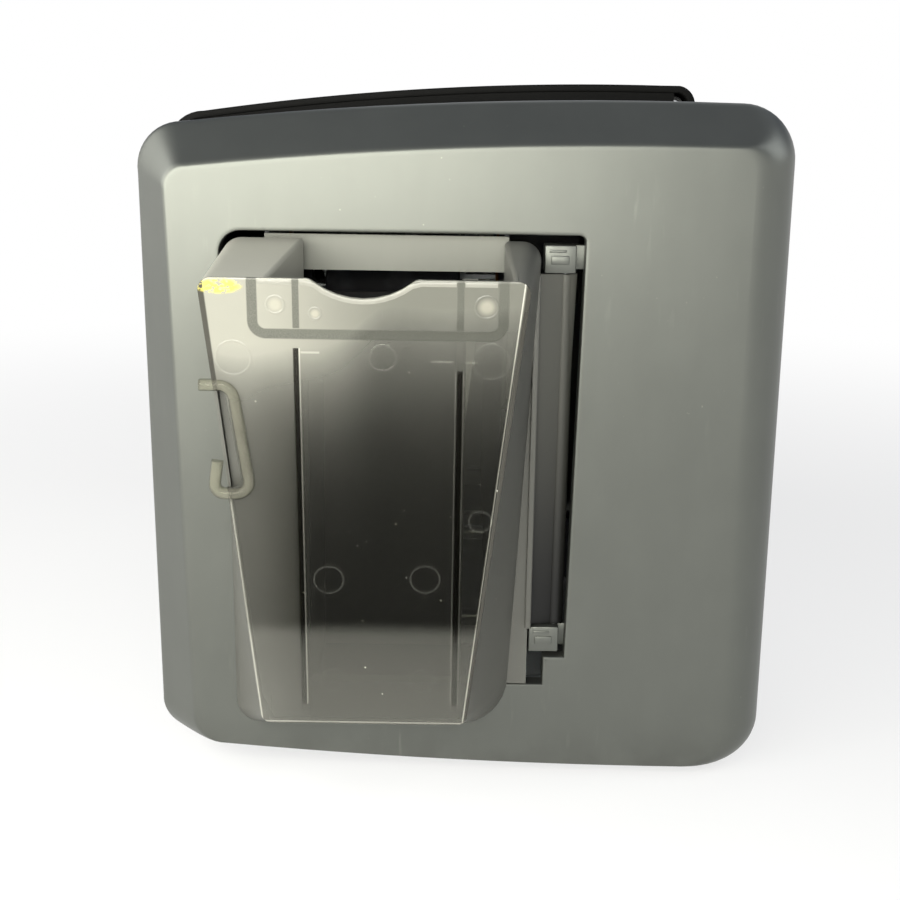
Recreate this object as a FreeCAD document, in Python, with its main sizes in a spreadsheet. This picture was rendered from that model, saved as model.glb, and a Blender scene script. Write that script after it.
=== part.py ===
"""Desktop id card printer: end covers, lid, two hinged card hoppers and the print mechanism.

Millimetres. +X is the card output end, -Y the front, +Z up. The origin is on the surface that
the printer stands on, under the middle of its box. Every driving dimension is a cell of the
sheet "sizes", and each piece's sizes and places are bound to those cells.
"""
import FreeCAD, Part
import math
import os
import Sketcher

V = FreeCAD.Vector

# The driving dimensions, in millimetres unless the name says share, count or angle
SIZES = {
    # The whole machine
    "body_length": 345,
    "body_depth": 245,
    "overall_height": 270,
    "end_cover_length": 60,
    "cover_wall": 2.5,
    "seam": 0.4,
    "running_gap": 0.05,
    "moving_gap": 0.35,
    "overrun": 1,
    # The end view: a crowned top and a keel-shaped underside between rounded corners
    "crown_drop": 6.5,
    "crown_inset": 52.5,
    "crown_radius": 1550,
    "keel_height": 3.2,
    "keel_inset": 35.5,
    "keel_radius": 2200,
    "front_top_bend": 17,
    "rear_top_bend": 20,
    "rear_bottom_bend": 19,
    "front_bottom_bend": 12,
    "front_foot_inset": 3,
    # The bevel round the flat face of an end cover
    "bevel_depth": 17,
    "face_top_drop": 15.5,
    "face_front_inset_high": 12.6,
    "face_front_inset_low": 16,
    "face_rear_inset": 17,
    "face_bottom_inset": 2,
    "face_corner_bend": 8,
    # The bay in an end cover that the hopper closes
    "bay_left_reach": 55,
    "bay_top_left_reach": 61,
    "bay_shoulder_rise": 7,
    "bay_corner": 8,
    "bay_top_rise": 21.5,
    "bay_top_radius": 900,
    "bay_reach_high": 73.5,
    "bay_reach_low": 73,
    "bay_step_reach": 62,
    "bay_bottom": 28,
    "bay_step_bottom": 39,
    # The card and its path
    "card_width": 54,
    "card_middle_inset": 93.5,
    "path_drop": 76,
    "card_gap": 1,
    # The hopper pocket, where it meets the flat face
    "pocket_left_reach": 59.5,
    "pocket_low_reach": 57.8,
    "pocket_right_reach": 57.5,
    "pocket_top_rise": 19,
    "pocket_bottom": 22,
    "pocket_bend_top": 7,
    "pocket_bend_left": 9,
    "pocket_bend_right": 25,
    "pocket_wall": 2.4,
    # The window, in its leaning plane
    "window_left_reach_high": 60.6,
    "window_right_reach_high": 51.5,
    "window_left_reach_low": 44.6,
    "window_right_reach_low": 33,
    "window_top_rise": 10.1,
    "window_bottom": 33.5,
    "window_bend_top": 4.5,
    "window_bend_low": 4,
    "window_thickness": 2.4,
    "pocket_reach": 50,
    "lean_run": 20,
    "lean_rise": 150,
    "rib_width": 1.6,
    "rib_depth": 5,
    "guide_play": 1.5,
    # The mouth between the cheeks, the notch and the finger loop
    "mouth_left_reach": 29.7,
    "mouth_right_reach": 43.8,
    "mouth_floor_rise": 4,
    "card_wall_low": 30,
    "mouth_flare_left": 8,
    "mouth_flare_right": 2,
    "notch_left_reach": 23.3,
    "notch_right_reach": 13.1,
    "notch_depth": 7.3,
    "loop_drop": 35.8,
    "loop_length": 44.3,
    "loop_reach": 46.4,
    "loop_stand": 2.2,
    "loop_rim": 2.2,
    # The hopper hinge
    "hinge_reach": 67,
    "hinge_sink": 7,
    "hinge_pin_radius": 1.5,
    "hinge_barrel_radius": 3.4,
    "hinge_top_rise": 18,
    "hinge_ear_length": 11,
    "hinge_bottom_rise": 24,
    "strip_reach_high": 69.5,
    "strip_reach_low": 65.5,
    "strip_thickness": 3,
    # The plate above the card exit
    "exit_plate_rise": 6.6,
    "exit_plate_tall": 13.2,
    "exit_plate_thickness": 2,
    # The lid and its hinge
    "lid_front_inset": 3,
    "lid_front_drop": 13.5,
    "lid_skirt_drop": 38,
    "lid_wall": 3,
    "lid_hinge_inset": 38.5,
    "lid_top_dip": 0.4,
    "lid_curl": 7.6,
    "lid_crown_radius": 1100,
    "lid_front_bend": 15,
    "lid_flange_drop": 9,
    "lid_flange_inset": 62.5,
    "lid_pin_radius": 2,
    "lid_ear_thickness": 4,
    "lid_ear_radius": 3.6,
    "lid_ear_inset": 10.5,
    "lid_lug_length": 9,
    # Front cover, display, keys and lid release
    "front_recess": 2.5,
    "display_inset": 57.5,
    "display_drop": 32,
    "display_width": 62,
    "display_tall": 24,
    "display_depth": 9,
    "key_drop": 28,
    "key_pitch": 20,
    "key_radius": 5,
    "key_length": 9,
    "key_travel": 1.2,
    "release_width": 46,
    "release_drop": 14,
    "release_tall": 9,
    "release_length": 10,
    "release_inset": 62.5,
    # Rear cover and connector plate
    "rear_top_inset": 30.5,
    "rear_shelf_drop": 24,
    "rear_shelf_inset": 44.5,
    "rear_bay_inset": 14.5,
    "rear_bay_bottom": 26,
    "rear_bay_top": 104,
    "plate_thickness": 1.5,
    "inlet_inset": 28,
    "inlet_height": 58,
    "inlet_width": 28,
    "inlet_tall": 21,
    "inlet_depth": 22,
    "switch_pitch": 38,
    "switch_width": 13,
    "switch_tall": 20,
    "switch_depth": 14,
    "rocker_vee": 2.2,
    "rocker_stub_radius": 1,
    "port_height": 48,
    "usb_pitch": 34,
    "usb_width": 13,
    "usb_tall": 12,
    "network_pitch": 24,
    "network_width": 17,
    "network_tall": 14,
    "port_depth": 17,
    "fan_inset": 28,
    "fan_height": 64,
    "fan_size": 50,
    "fan_depth": 12,
    "fan_hub_radius": 11,
    "fan_blade_thickness": 1.4,
    "fan_shaft_radius": 1.5,
    # Base pan and feet
    "pan_height": 14.5,
    "pan_thickness": 2,
    "pan_front_inset": 22.5,
    "pan_rear_inset": 10.5,
    "foot_radius": 9,
    "foot_inset_x": 34,
    "foot_inset_y": 28,
    # Frame plates and rods
    "frame_front_reach": 45,
    "frame_rear_reach": 44.2,
    "frame_end_inset": 8.5,
    "frame_drop": 30,
    "rod_radius": 4,
    # Rollers, all with the same shaft and bushes
    "shaft_radius": 3,
    "bush_radius": 5,
    "bush_flange_radius": 7,
    "bush_flange": 1.2,
    "roller_radius": 8,
    "roller_inset": 77.5,
    "upper_roller_radius": 7,
    "pick_inset": 37.5,
    "pick_radius": 10,
    "belt_radius": 6.8,
    "belt_thickness": 1.2,
    "belt_width": 4,
    # Ribbon
    "spool_pitch": 58,
    "spool_drop": 22,
    "spool_core_radius": 6,
    "spool_flange_radius": 18,
    "spool_flange": 2,
    "ribbon_roll_radius": 12,
    "film_thickness": 0.2,
    "film_half_span": 24,
    "guide_bar_radius": 1.5,
    # Gears
    "tooth_size": 1,
    "gear_width": 5,
    "backlash": 0.5,
    "platen_tooth_count": 30,
    "take_up_tooth_count": 28,
    "pinion_tooth_count": 12,
    # Motors
    "motor_size": 42,
    "motor_length": 34,
    "motor_shaft_radius": 2.5,
    "pick_motor_radius": 14,
    "pick_motor_length": 30,
    # Print head
    "head_pivot_place": 30,
    "head_pivot_rise": 19,
    "head_half_width": 14,
    "head_gap": 1.5,
    "head_plate_rise": 32,
    "head_plate": 2,
    "head_strip_width": 14,
    "sink_rise": 9,
    "fin_gap": 3,
    "fin_depth": 14,
    # Trays and lift
    "tray_floor": 28,
    "tray_wall": 2,
    "tray_drop": 9,
    "tray_inner_inset": 66.5,
    "lift_thickness": 2,
    "lift_drop": 6,
    "lift_skirt": 9,
    "guide_plate_drop": 6.5,
    "guide_plate_inner": 20,
    "guide_plate_gap": 15,
    "guide_lip": 3.4,
    # Electronics
    "board_left_inset": 68.5,
    "board_right": 4,
    "board_front_gap": 8.8,
    "board_rear_inset": 10.5,
    "board_height": 26,
    "board_thickness": 1.6,
    "board_post_radius": 3,
    "supply_left": 16,
    "supply_right_inset": 64.5,
    "supply_front_gap": 14.8,
    "supply_rear_inset": 34.5,
    "supply_top": 62,
    # Housing screws
    "screw_radius": 2,
    "screw_head_radius": 3.5,
    "screw_head": 1.8,
    "screw_length": 6,
}

# Places that follow from the sizes, as the formulas of their cells
PLACES = {
    "path_height": "=overall_height - path_drop",
    "card_middle": "=card_middle_inset - body_depth / 2",
    "crown_height": "=overall_height - crown_drop",
    "crown_place": "=body_depth / 2 - crown_inset",
    "keel_place": "=body_depth / 2 - keel_inset",
    "bay_left": "=card_middle - bay_left_reach",
    "bay_top_left": "=card_middle - bay_top_left_reach",
    "bay_shoulder": "=path_height + bay_shoulder_rise",
    "bay_top": "=path_height + bay_top_rise",
    "bay_right_high": "=card_middle + bay_reach_high",
    "bay_right_low": "=card_middle + bay_reach_low",
    "bay_step": "=card_middle + bay_step_reach",
    "pocket_left": "=card_middle - pocket_left_reach",
    "pocket_left_low": "=card_middle - pocket_low_reach",
    "pocket_right": "=card_middle + pocket_right_reach",
    "pocket_top": "=path_height + pocket_top_rise",
    "window_top_left": "=card_middle - window_left_reach_high",
    "window_top_right": "=card_middle + window_right_reach_high",
    "window_bottom_left": "=card_middle - window_left_reach_low",
    "window_bottom_right": "=card_middle + window_right_reach_low",
    "window_top": "=path_height + window_top_rise",
    "mouth_left": "=card_middle - mouth_left_reach",
    "mouth_right": "=card_middle + mouth_right_reach",
    "mouth_floor": "=path_height + mouth_floor_rise",
    "notch_left": "=card_middle - notch_left_reach",
    "notch_right": "=card_middle + notch_right_reach",
    "loop_top": "=window_top - loop_drop",
    "loop_bottom": "=loop_top - loop_length",
    "loop_right": "=card_middle - loop_reach",
    "hinge_place": "=card_middle + hinge_reach",
    "hinge_top": "=path_height + hinge_top_rise",
    "hinge_bottom": "=bay_bottom + hinge_bottom_rise",
    "strip_right_high": "=card_middle + strip_reach_high",
    "strip_right_low": "=card_middle + strip_reach_low",
    "exit_plate_bottom": "=path_height + exit_plate_rise",
    "exit_plate_top": "=exit_plate_bottom + exit_plate_tall",
    "lid_front": "=lid_front_inset - body_depth / 2",
    "lid_front_height": "=overall_height - lid_front_drop",
    "lid_skirt_height": "=overall_height - lid_skirt_drop",
    "lid_hinge_place": "=body_depth / 2 - lid_hinge_inset",
    "lid_flange_rear": "=body_depth / 2 - lid_flange_inset",
    "lid_ear_place": "=body_length / 2 - end_cover_length - lid_ear_inset",
    "display_middle": "=body_length / 2 - end_cover_length - display_inset",
    "display_height": "=lid_skirt_height - display_drop",
    "key_height": "=display_height - key_drop",
    "release_height": "=lid_skirt_height - release_drop",
    "release_middle": "=end_cover_length + release_inset - body_length / 2",
    "rear_top_front": "=body_depth / 2 - rear_top_inset",
    "rear_shelf_height": "=overall_height - rear_shelf_drop",
    "rear_shelf_front": "=body_depth / 2 - rear_shelf_inset",
    "rear_bay_width": "=body_length - (end_cover_length + rear_bay_inset) * 2",
    "inlet_place": "=inlet_inset - rear_bay_width / 2",
    "switch_place": "=inlet_place + switch_pitch",
    "usb_place": "=switch_place + usb_pitch",
    "network_place": "=usb_place + network_pitch",
    "fan_place": "=rear_bay_width / 2 - fan_inset",
    "pan_front": "=pan_front_inset - body_depth / 2",
    "pan_rear": "=body_depth / 2 - pan_rear_inset",
    "frame_front": "=card_middle - frame_front_reach",
    "frame_rear": "=card_middle + frame_rear_reach",
    "frame_half_length": "=body_length / 2 - frame_end_inset",
    "frame_top": "=overall_height - frame_drop",
    "roller_pitch": "=body_length / 2 - roller_inset",
    "pick_place": "=pick_inset - body_length / 2",
    "spool_height": "=frame_top - spool_drop",
    "head_pivot_height": "=path_height + head_pivot_rise",
    "head_bottom": "=path_height + head_gap",
    "head_plate_top": "=path_height + head_plate_rise",
    "sink_bottom": "=path_height + sink_rise",
    "tray_top": "=path_height - tray_drop",
    "tray_inner_end": "=body_length / 2 - tray_inner_inset",
    "lift_height": "=path_height - lift_drop",
    "guide_plate_height": "=path_height - guide_plate_drop",
    "guide_plate_outer": "=roller_pitch - guide_plate_gap",
    "board_left": "=board_left_inset - body_length / 2",
    "board_front": "=frame_rear + board_front_gap",
    "board_rear": "=body_depth / 2 - board_rear_inset",
    "supply_right": "=body_length / 2 - supply_right_inset",
    "supply_front": "=frame_rear + supply_front_gap",
    "supply_rear": "=body_depth / 2 - supply_rear_inset",
}

doc = FreeCAD.newDocument("card_printer")
sheet = doc.addObject("Spreadsheet::Sheet", "sizes")
for row, (alias, content) in enumerate([*SIZES.items(), *PLACES.items()], start=1):
    sheet.set(f"A{row}", alias.replace("_", " "))
    sheet.set(f"B{row}", str(content))
    sheet.setAlias(f"B{row}", alias)
doc.recompute()


class Size:
    """A length worked out from the sheet: its number now, and the formula that gives it."""

    def __init__(self, number, formula):
        self.number = number
        self.formula = formula

    def __add__(self, other):
        return Size(self.number + number_of(other), f"({self.formula} + {formula_of(other)})")

    def __radd__(self, other):
        return Size(number_of(other) + self.number, f"({formula_of(other)} + {self.formula})")

    def __sub__(self, other):
        return Size(self.number - number_of(other), f"({self.formula} - {formula_of(other)})")

    def __rsub__(self, other):
        return Size(number_of(other) - self.number, f"({formula_of(other)} - {self.formula})")

    def __mul__(self, other):
        return Size(self.number * number_of(other), f"({self.formula} * {formula_of(other)})")

    __rmul__ = __mul__

    def __truediv__(self, other):
        return Size(self.number / number_of(other), f"({self.formula} / {formula_of(other)})")

    def __neg__(self):
        return Size(-self.number, f"(0 - {self.formula})")


def number_of(value):
    """The number that a size or a plain number stands for."""
    return value.number if isinstance(value, Size) else value


def formula_of(value):
    """The text that a size or a plain number has in a formula."""
    return value.formula if isinstance(value, Size) else repr(round(value, 9))


def root(value):
    """The square root of a size."""
    return Size(math.sqrt(value.number), f"sqrt({value.formula})")


class Sheet:
    """The sheet's cells by name, each as a Size."""

    def __getattr__(self, alias):
        return Size(float(sheet.get(alias)), f"sizes.{alias}")


at = Sheet()
pieces = []


def bind(thing, name, value):
    """Give a property of an object its size, bound to the sheet."""
    if isinstance(value, Size):
        thing.setExpression(name, value.formula)


def keep(name, thing):
    """Name a finished piece and list it for writing out."""
    thing.Label = name
    pieces.append(thing)
    return thing


def place(thing, x, y, z):
    """Put an object's own origin at a point."""
    for axis, value in zip("xyz", (x, y, z)):
        bind(thing, f".Placement.Base.{axis}", value)
    return thing


def box(name, x, y, z):
    """A box between the low and high ends given for each axis."""
    thing = doc.addObject("Part::Box", name)
    for side, (low, high) in zip(("Length", "Width", "Height"), (x, y, z)):
        bind(thing, side, high - low)
    return place(thing, x[0], y[0], z[0])


TURNS = {"x": FreeCAD.Rotation(V(0, 1, 0), 90),
         "y": FreeCAD.Rotation(V(1, 0, 0), -90),
         "z": FreeCAD.Rotation()}


def rod(name, along, radius, span, first, second):
    """A round bar along an axis, over a span, at its two other coordinates in X, Y, Z order."""
    thing = doc.addObject("Part::Cylinder", name)
    thing.Placement = FreeCAD.Placement(V(), TURNS[along])
    bind(thing, "Radius", radius)
    bind(thing, "Height", span[1] - span[0])
    spots = {"x": (span[0], first, second), "y": (first, span[0], second), "z": (first, second, span[0])}
    return place(thing, *spots[along])


def fuse(name, *things):
    """One solid from several that overlap or touch."""
    thing = doc.addObject("Part::MultiFuse", name)
    thing.Shapes = list(things)
    thing.Refine = True
    return thing


def group(name, *things):
    """Several separate solids held as one object."""
    thing = doc.addObject("Part::Compound", name)
    thing.Links = list(things)
    return thing


def cut(name, base, *tools):
    """A solid with other solids taken out of it."""
    thing = doc.addObject("Part::Cut", name)
    thing.Base = base
    thing.Tool = tools[0] if len(tools) == 1 else fuse(name + "_tools", *tools)
    thing.Refine = True
    return thing


def common(name, base, tool):
    """What two solids share."""
    thing = doc.addObject("Part::Common", name)
    thing.Base = base
    thing.Tool = tool
    thing.Refine = True
    return thing


def mirrored(name, source):
    """The same solid on the other side of the plane X = 0."""
    thing = doc.addObject("Part::Mirroring", name)
    thing.Source = source
    thing.Normal = V(1, 0, 0)
    thing.Base = V(0, 0, 0)
    return thing


def tube(name, along, outer, inner, span, first, second):
    """A round bar with a bore right through it."""
    bar = rod(name + "_bar", along, outer, span, first, second)
    reach = (span[0] - at.overrun, span[1] + at.overrun)
    return cut(name, bar, rod(name + "_bore", along, inner, reach, first, second))


PLANES = {"x": "YZ_Plane", "y": "XZ_Plane", "z": "XY_Plane"}


def sketch(body, name, along, offset, points, bends=None, lean=None):
    """A closed outline square to an axis, each corner bound to the sheet.

    The corners run anticlockwise. A bend is the radius of the side that starts at that corner,
    negative where the side curves inwards. A lean turns the sketch about its own first axis.
    """
    bends = bends or {}
    drawing = body.newObject("Sketcher::SketchObject", name)
    plane = [item for item in body.Origin.OriginFeatures if item.Role == PLANES[along]][0]
    drawing.AttachmentSupport = [(plane, "")]
    drawing.MapMode = "FlatFace"
    if lean is not None:
        drawing.AttachmentOffset = FreeCAD.Placement(V(), FreeCAD.Rotation(V(1, 0, 0), lean.number))
        drawing.setExpression("AttachmentOffset.Rotation.Angle", lean.formula)
    bind(drawing, "AttachmentOffset.Base.z", -offset if along == "y" else offset)
    count = len(points)
    spots = [V(number_of(first), number_of(second), 0) for first, second in points]
    ends = []
    for index in range(count):
        start, stop = spots[index], spots[(index + 1) % count]
        if index not in bends:
            drawing.addGeometry(Part.LineSegment(start, stop), False)
            ends.append((1, 2))
            continue
        bend = number_of(bends[index])
        side = math.copysign(1, bend)
        chord = stop - start
        height = math.sqrt(max(bend * bend - chord.Length ** 2 / 4, 0))
        square = V(-chord.y, chord.x, 0) / chord.Length
        middle = (start + stop) / 2 + square * (height * side)
        low, high = (start, stop) if side > 0 else (stop, start)
        angles = [math.atan2(spot.y - middle.y, spot.x - middle.x) for spot in (low, high)]
        circle = Part.Circle(middle, V(0, 0, 1), abs(bend))
        drawing.addGeometry(Part.ArcOfCircle(circle, *angles), False)
        ends.append((1, 2) if side > 0 else (2, 1))
    for index in range(count):
        following = (index + 1) % count
        drawing.addConstraint(Sketcher.Constraint("Coincident", index, ends[index][1],
                                                  following, ends[following][0]))
    for index, corner in enumerate(points):
        for kind, value in zip(("DistanceX", "DistanceY"), corner):
            number = drawing.addConstraint(Sketcher.Constraint(
                kind, -1, 1, index, ends[index][0], float(number_of(value))))
            bind(drawing, f"Constraints[{number}]", value)
    for index, bend in bends.items():
        number = drawing.addConstraint(Sketcher.Constraint("Radius", index, abs(number_of(bend))))
        bind(drawing, f"Constraints[{number}]", bend if number_of(bend) > 0 else -bend)
    return drawing


def round_sketch(body, name, along, offset, radius):
    """A circle about the body's own axis, square to that axis."""
    drawing = body.newObject("Sketcher::SketchObject", name)
    plane = [item for item in body.Origin.OriginFeatures if item.Role == PLANES[along]][0]
    drawing.AttachmentSupport = [(plane, "")]
    drawing.MapMode = "FlatFace"
    bind(drawing, "AttachmentOffset.Base.z", -offset if along == "y" else offset)
    drawing.addGeometry(Part.Circle(V(), V(0, 0, 1), number_of(radius)), False)
    drawing.addConstraint(Sketcher.Constraint("Coincident", 0, 3, -1, 1))
    number = drawing.addConstraint(Sketcher.Constraint("Radius", 0, number_of(radius)))
    bind(drawing, f"Constraints[{number}]", radius)
    return drawing


def prism(name, along, span, points, bends=None):
    """An outline carried straight along an axis, as a body with one sketch and one pad."""
    body = doc.addObject("PartDesign::Body", name)
    drawing = sketch(body, name + "_outline", along, span[0], points, bends)
    pad = body.newObject("PartDesign::Pad", name + "_pad")
    pad.Profile = drawing
    pad.Reversed = along == "y"
    bind(pad, "Length", span[1] - span[0])
    return body


def rectangle(low_first, high_first, low_second, high_second):
    """The four corners of an upright rectangle, anticlockwise."""
    return [(low_first, low_second), (high_first, low_second),
            (high_first, high_second), (low_first, high_second)]


# End covers

half_length = at.body_length / 2
half_depth = at.body_depth / 2
cover_inner = half_length - at.end_cover_length
card_low = at.card_middle - at.card_width / 2
card_high = at.card_middle + at.card_width / 2


def crown(place_y):
    """Height of the crowned top above the ground at a depth."""
    away = place_y - at.crown_place
    return at.crown_height - away * away / (at.crown_radius * 2)


def keel(place_y):
    """Height of the keel-shaped underside above the ground at a depth."""
    away = place_y - at.keel_place
    return at.keel_height + away * away / (at.keel_radius * 2)


def cover_corners(slant, rounding, inset):
    """The end view's corners, drawn in by shares of the bevel and by an even inset."""
    front_low = (at.face_front_inset_low * slant + at.front_foot_inset) - half_depth + inset
    front_high = at.face_front_inset_high * slant - half_depth + inset
    rear = half_depth - at.face_rear_inset * rounding - inset
    drop = at.face_top_drop * slant + inset
    lift = at.face_bottom_inset * rounding + inset
    front_bend = at.front_top_bend - (at.front_top_bend - at.face_corner_bend) * slant
    rear_bend = at.rear_top_bend - (at.rear_top_bend - at.face_corner_bend) * slant
    foot = at.front_bottom_bend
    heel = at.rear_bottom_bend
    corners = [
        (front_low + foot, keel(front_low + foot) + lift),
        (rear - heel, keel(rear - heel) + lift),
        (rear, keel(rear) + lift + heel),
        (rear, crown(rear) - drop - rear_bend),
        (rear - rear_bend, crown(rear - rear_bend) - drop),
        (front_high + front_bend, crown(front_high + front_bend) - drop),
        (front_high, crown(front_high) - drop - front_bend),
        (front_low, keel(front_low) + lift + foot),
    ]
    bends = {0: at.keel_radius, 1: heel, 3: rear_bend, 4: at.crown_radius, 5: front_bend, 7: foot}
    return corners, bends


BEVEL_STEPS = 3


def cover_form(name, inner, inset):
    """The end cover's outer form, or the hollow inside it: a straight run and a bevelled end."""
    body = doc.addObject("PartDesign::Body", name)
    shoulder = half_length - at.bevel_depth
    corners, bends = cover_corners(0, 0, inset)
    outline = sketch(body, name + "_outline", "x", inner, corners, bends)
    pad = body.newObject("PartDesign::Pad", name + "_pad")
    pad.Profile = outline
    bind(pad, "Length", shoulder - inner)
    rings = []
    for step in range(BEVEL_STEPS + 1):
        angle = math.radians(90 * step / BEVEL_STEPS)
        slant, rounding = round(math.sin(angle), 6), round(1 - math.cos(angle), 6)
        corners, bends = cover_corners(slant, rounding, inset)
        spot = shoulder + (at.bevel_depth - inset) * slant
        rings.append(sketch(body, f"{name}_ring_{step}", "x", spot, corners, bends))
    bevel = body.newObject("PartDesign::AdditiveLoft", name + "_bevel")
    bevel.Profile = rings[0]
    bevel.Sections = rings[1:]
    bevel.Ruled = True
    return body


def foot_places():
    """Where the four feet stand."""
    for side_x in (-1, 1):
        for side_y in (-1, 1):
            yield (half_length - at.foot_inset_x) * side_x, (half_depth - at.foot_inset_y) * side_y


hinge_x = half_length - at.hinge_sink


def end_cover():
    """The output end's cover: a bevelled shell with the hopper bay and two hinge ears."""
    shell = cut("cover_shell", cover_form("cover_outer", cover_inner, at.cover_wall * 0),
                cover_form("cover_inner", cover_inner - at.overrun, at.cover_wall))
    bay_corners = [
        (at.bay_left, at.bay_bottom),
        (at.bay_step, at.bay_bottom),
        (at.bay_step, at.bay_step_bottom),
        (at.bay_right_low, at.bay_step_bottom),
        (at.bay_right_high, at.bay_top - at.cover_wall),
        (at.bay_right_high - at.cover_wall, at.bay_top - at.seam),
        (at.bay_top_left + at.bay_corner, at.bay_top - at.seam),
        (at.bay_top_left, at.bay_top - at.bay_corner),
        (at.bay_top_left, at.bay_shoulder),
        (at.bay_left, at.bay_shoulder),
    ]
    bends = {4: at.cover_wall, 5: at.bay_top_radius, 6: at.bay_corner}
    reach = (half_length - at.cover_wall - at.overrun, half_length + at.overrun)
    bay = prism("cover_bay", "x", reach, bay_corners, bends)
    ear_x = (hinge_x - at.hinge_barrel_radius - at.overrun / 2, half_length - at.overrun)
    ear_y = (at.hinge_place - at.hinge_barrel_radius, at.bay_right_high + at.cover_wall)
    spans = [(at.hinge_bottom, at.hinge_bottom + at.hinge_ear_length),
             (at.hinge_top - at.hinge_ear_length, at.hinge_top)]
    ears = [box(f"hinge_ear_{number}", ear_x, ear_y, span) for number, span in enumerate(spans)]
    pin_way = rod("hinge_pin_way", "z", at.hinge_pin_radius + at.running_gap / 2,
                  (at.hinge_bottom + at.cover_wall, at.hinge_top - at.cover_wall),
                  hinge_x, at.hinge_place)
    feet = [rod(f"foot_way_{number}", "z", at.foot_radius + at.seam, (at.overrun * 0, at.pan_height),
                x, y) for number, (x, y) in enumerate(foot_places()) if number > 1]
    open_shell = cut("cover_open", shell, bay, *feet)
    return cut("cover_finished", fuse("cover_with_ears", open_shell, *ears), pin_way)


right_cover = keep("right_end_cover", end_cover())
keep("left_end_cover", mirrored("left_cover", right_cover))


def hinge_pin(name):
    """The steel pin of a hopper hinge."""
    return rod(name, "z", at.hinge_pin_radius, (at.hinge_bottom + at.cover_wall,
               at.hinge_top - at.cover_wall), hinge_x, at.hinge_place)


output_pin = hinge_pin("output_pin")
keep("hopper_hinge_pins", group("hopper_pins", output_pin, mirrored("input_pin", output_pin)))


# Hopper pocket and window

lean_share = at.lean_run / at.lean_rise
lean_stretch = root(lean_share * lean_share + 1)
lean_angle = Size(math.degrees(math.atan(at.lean_run.number / at.lean_rise.number)),
                  "atan(sizes.lean_run / sizes.lean_rise)")
lean_foot = half_length + at.pocket_reach - at.window_top * lean_share
pocket_base = half_length + at.moving_gap


def base_corners(inset):
    """The pocket's outline where it meets the flat face."""
    left, low, right = at.pocket_left + inset, at.pocket_left_low + inset, at.pocket_right - inset
    top, bottom = at.pocket_top - inset, at.pocket_bottom + inset
    corners = [
        (low + at.pocket_bend_left, bottom),
        (right - at.pocket_bend_right, bottom),
        (right, bottom + at.pocket_bend_right),
        (right, top - at.pocket_bend_top),
        (right - at.pocket_bend_top, top),
        (left + at.pocket_bend_top, top),
        (left, top - at.pocket_bend_top),
        (low, bottom + at.pocket_bend_left),
    ]
    bends = {1: at.pocket_bend_right, 3: at.pocket_bend_top, 5: at.pocket_bend_top,
             7: at.pocket_bend_left}
    return corners, bends


def window_corners(inset):
    """The window's outline, its second coordinate measured along the leaning plane."""
    high, low = at.window_bend_top, at.window_bend_low
    left, left_low = at.window_top_left + inset, at.window_bottom_left + inset
    right, right_low = at.window_top_right - inset, at.window_bottom_right - inset
    top = (at.window_top - inset) * lean_stretch
    bottom = (at.window_bottom + inset) * lean_stretch
    corners = [
        (left_low + low, bottom),
        (right_low - low, bottom),
        (right_low, bottom + low),
        (right, top - high),
        (right - high, top),
        (left + high, top),
        (left, top - high),
        (left_low, bottom + low),
    ]
    return corners, {1: low, 3: high, 5: high, 7: low}


def pocket_form(name, inset, sink):
    """The pocket's tapering form from the flat face out to the leaning window."""
    body = doc.addObject("PartDesign::Body", name)
    corners, bends = base_corners(inset)
    base = sketch(body, name + "_base", "x", pocket_base - sink, corners, bends)
    corners, bends = window_corners(inset)
    front = sketch(body, name + "_front", "x", lean_foot - at.window_thickness + sink, corners, bends,
                   lean_angle)
    loft = body.newObject("PartDesign::AdditiveLoft", name + "_loft")
    loft.Profile = base
    loft.Sections = [front]
    loft.Ruled = True
    return body


def leaning_plate(name, thickness, corners, bends, lift):
    """A plate in the leaning plane, its outer face at a lift from the window's outer face."""
    body = doc.addObject("PartDesign::Body", name)
    outline = sketch(body, name + "_outline", "x", lean_foot + lift - thickness, corners, bends,
                     lean_angle)
    pad = body.newObject("PartDesign::Pad", name + "_pad")
    pad.Profile = outline
    bind(pad, "Length", thickness)
    return body


window_x = half_length + at.pocket_reach
rib_left = card_low - at.guide_play
rib_right = card_high + at.guide_play


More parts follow.
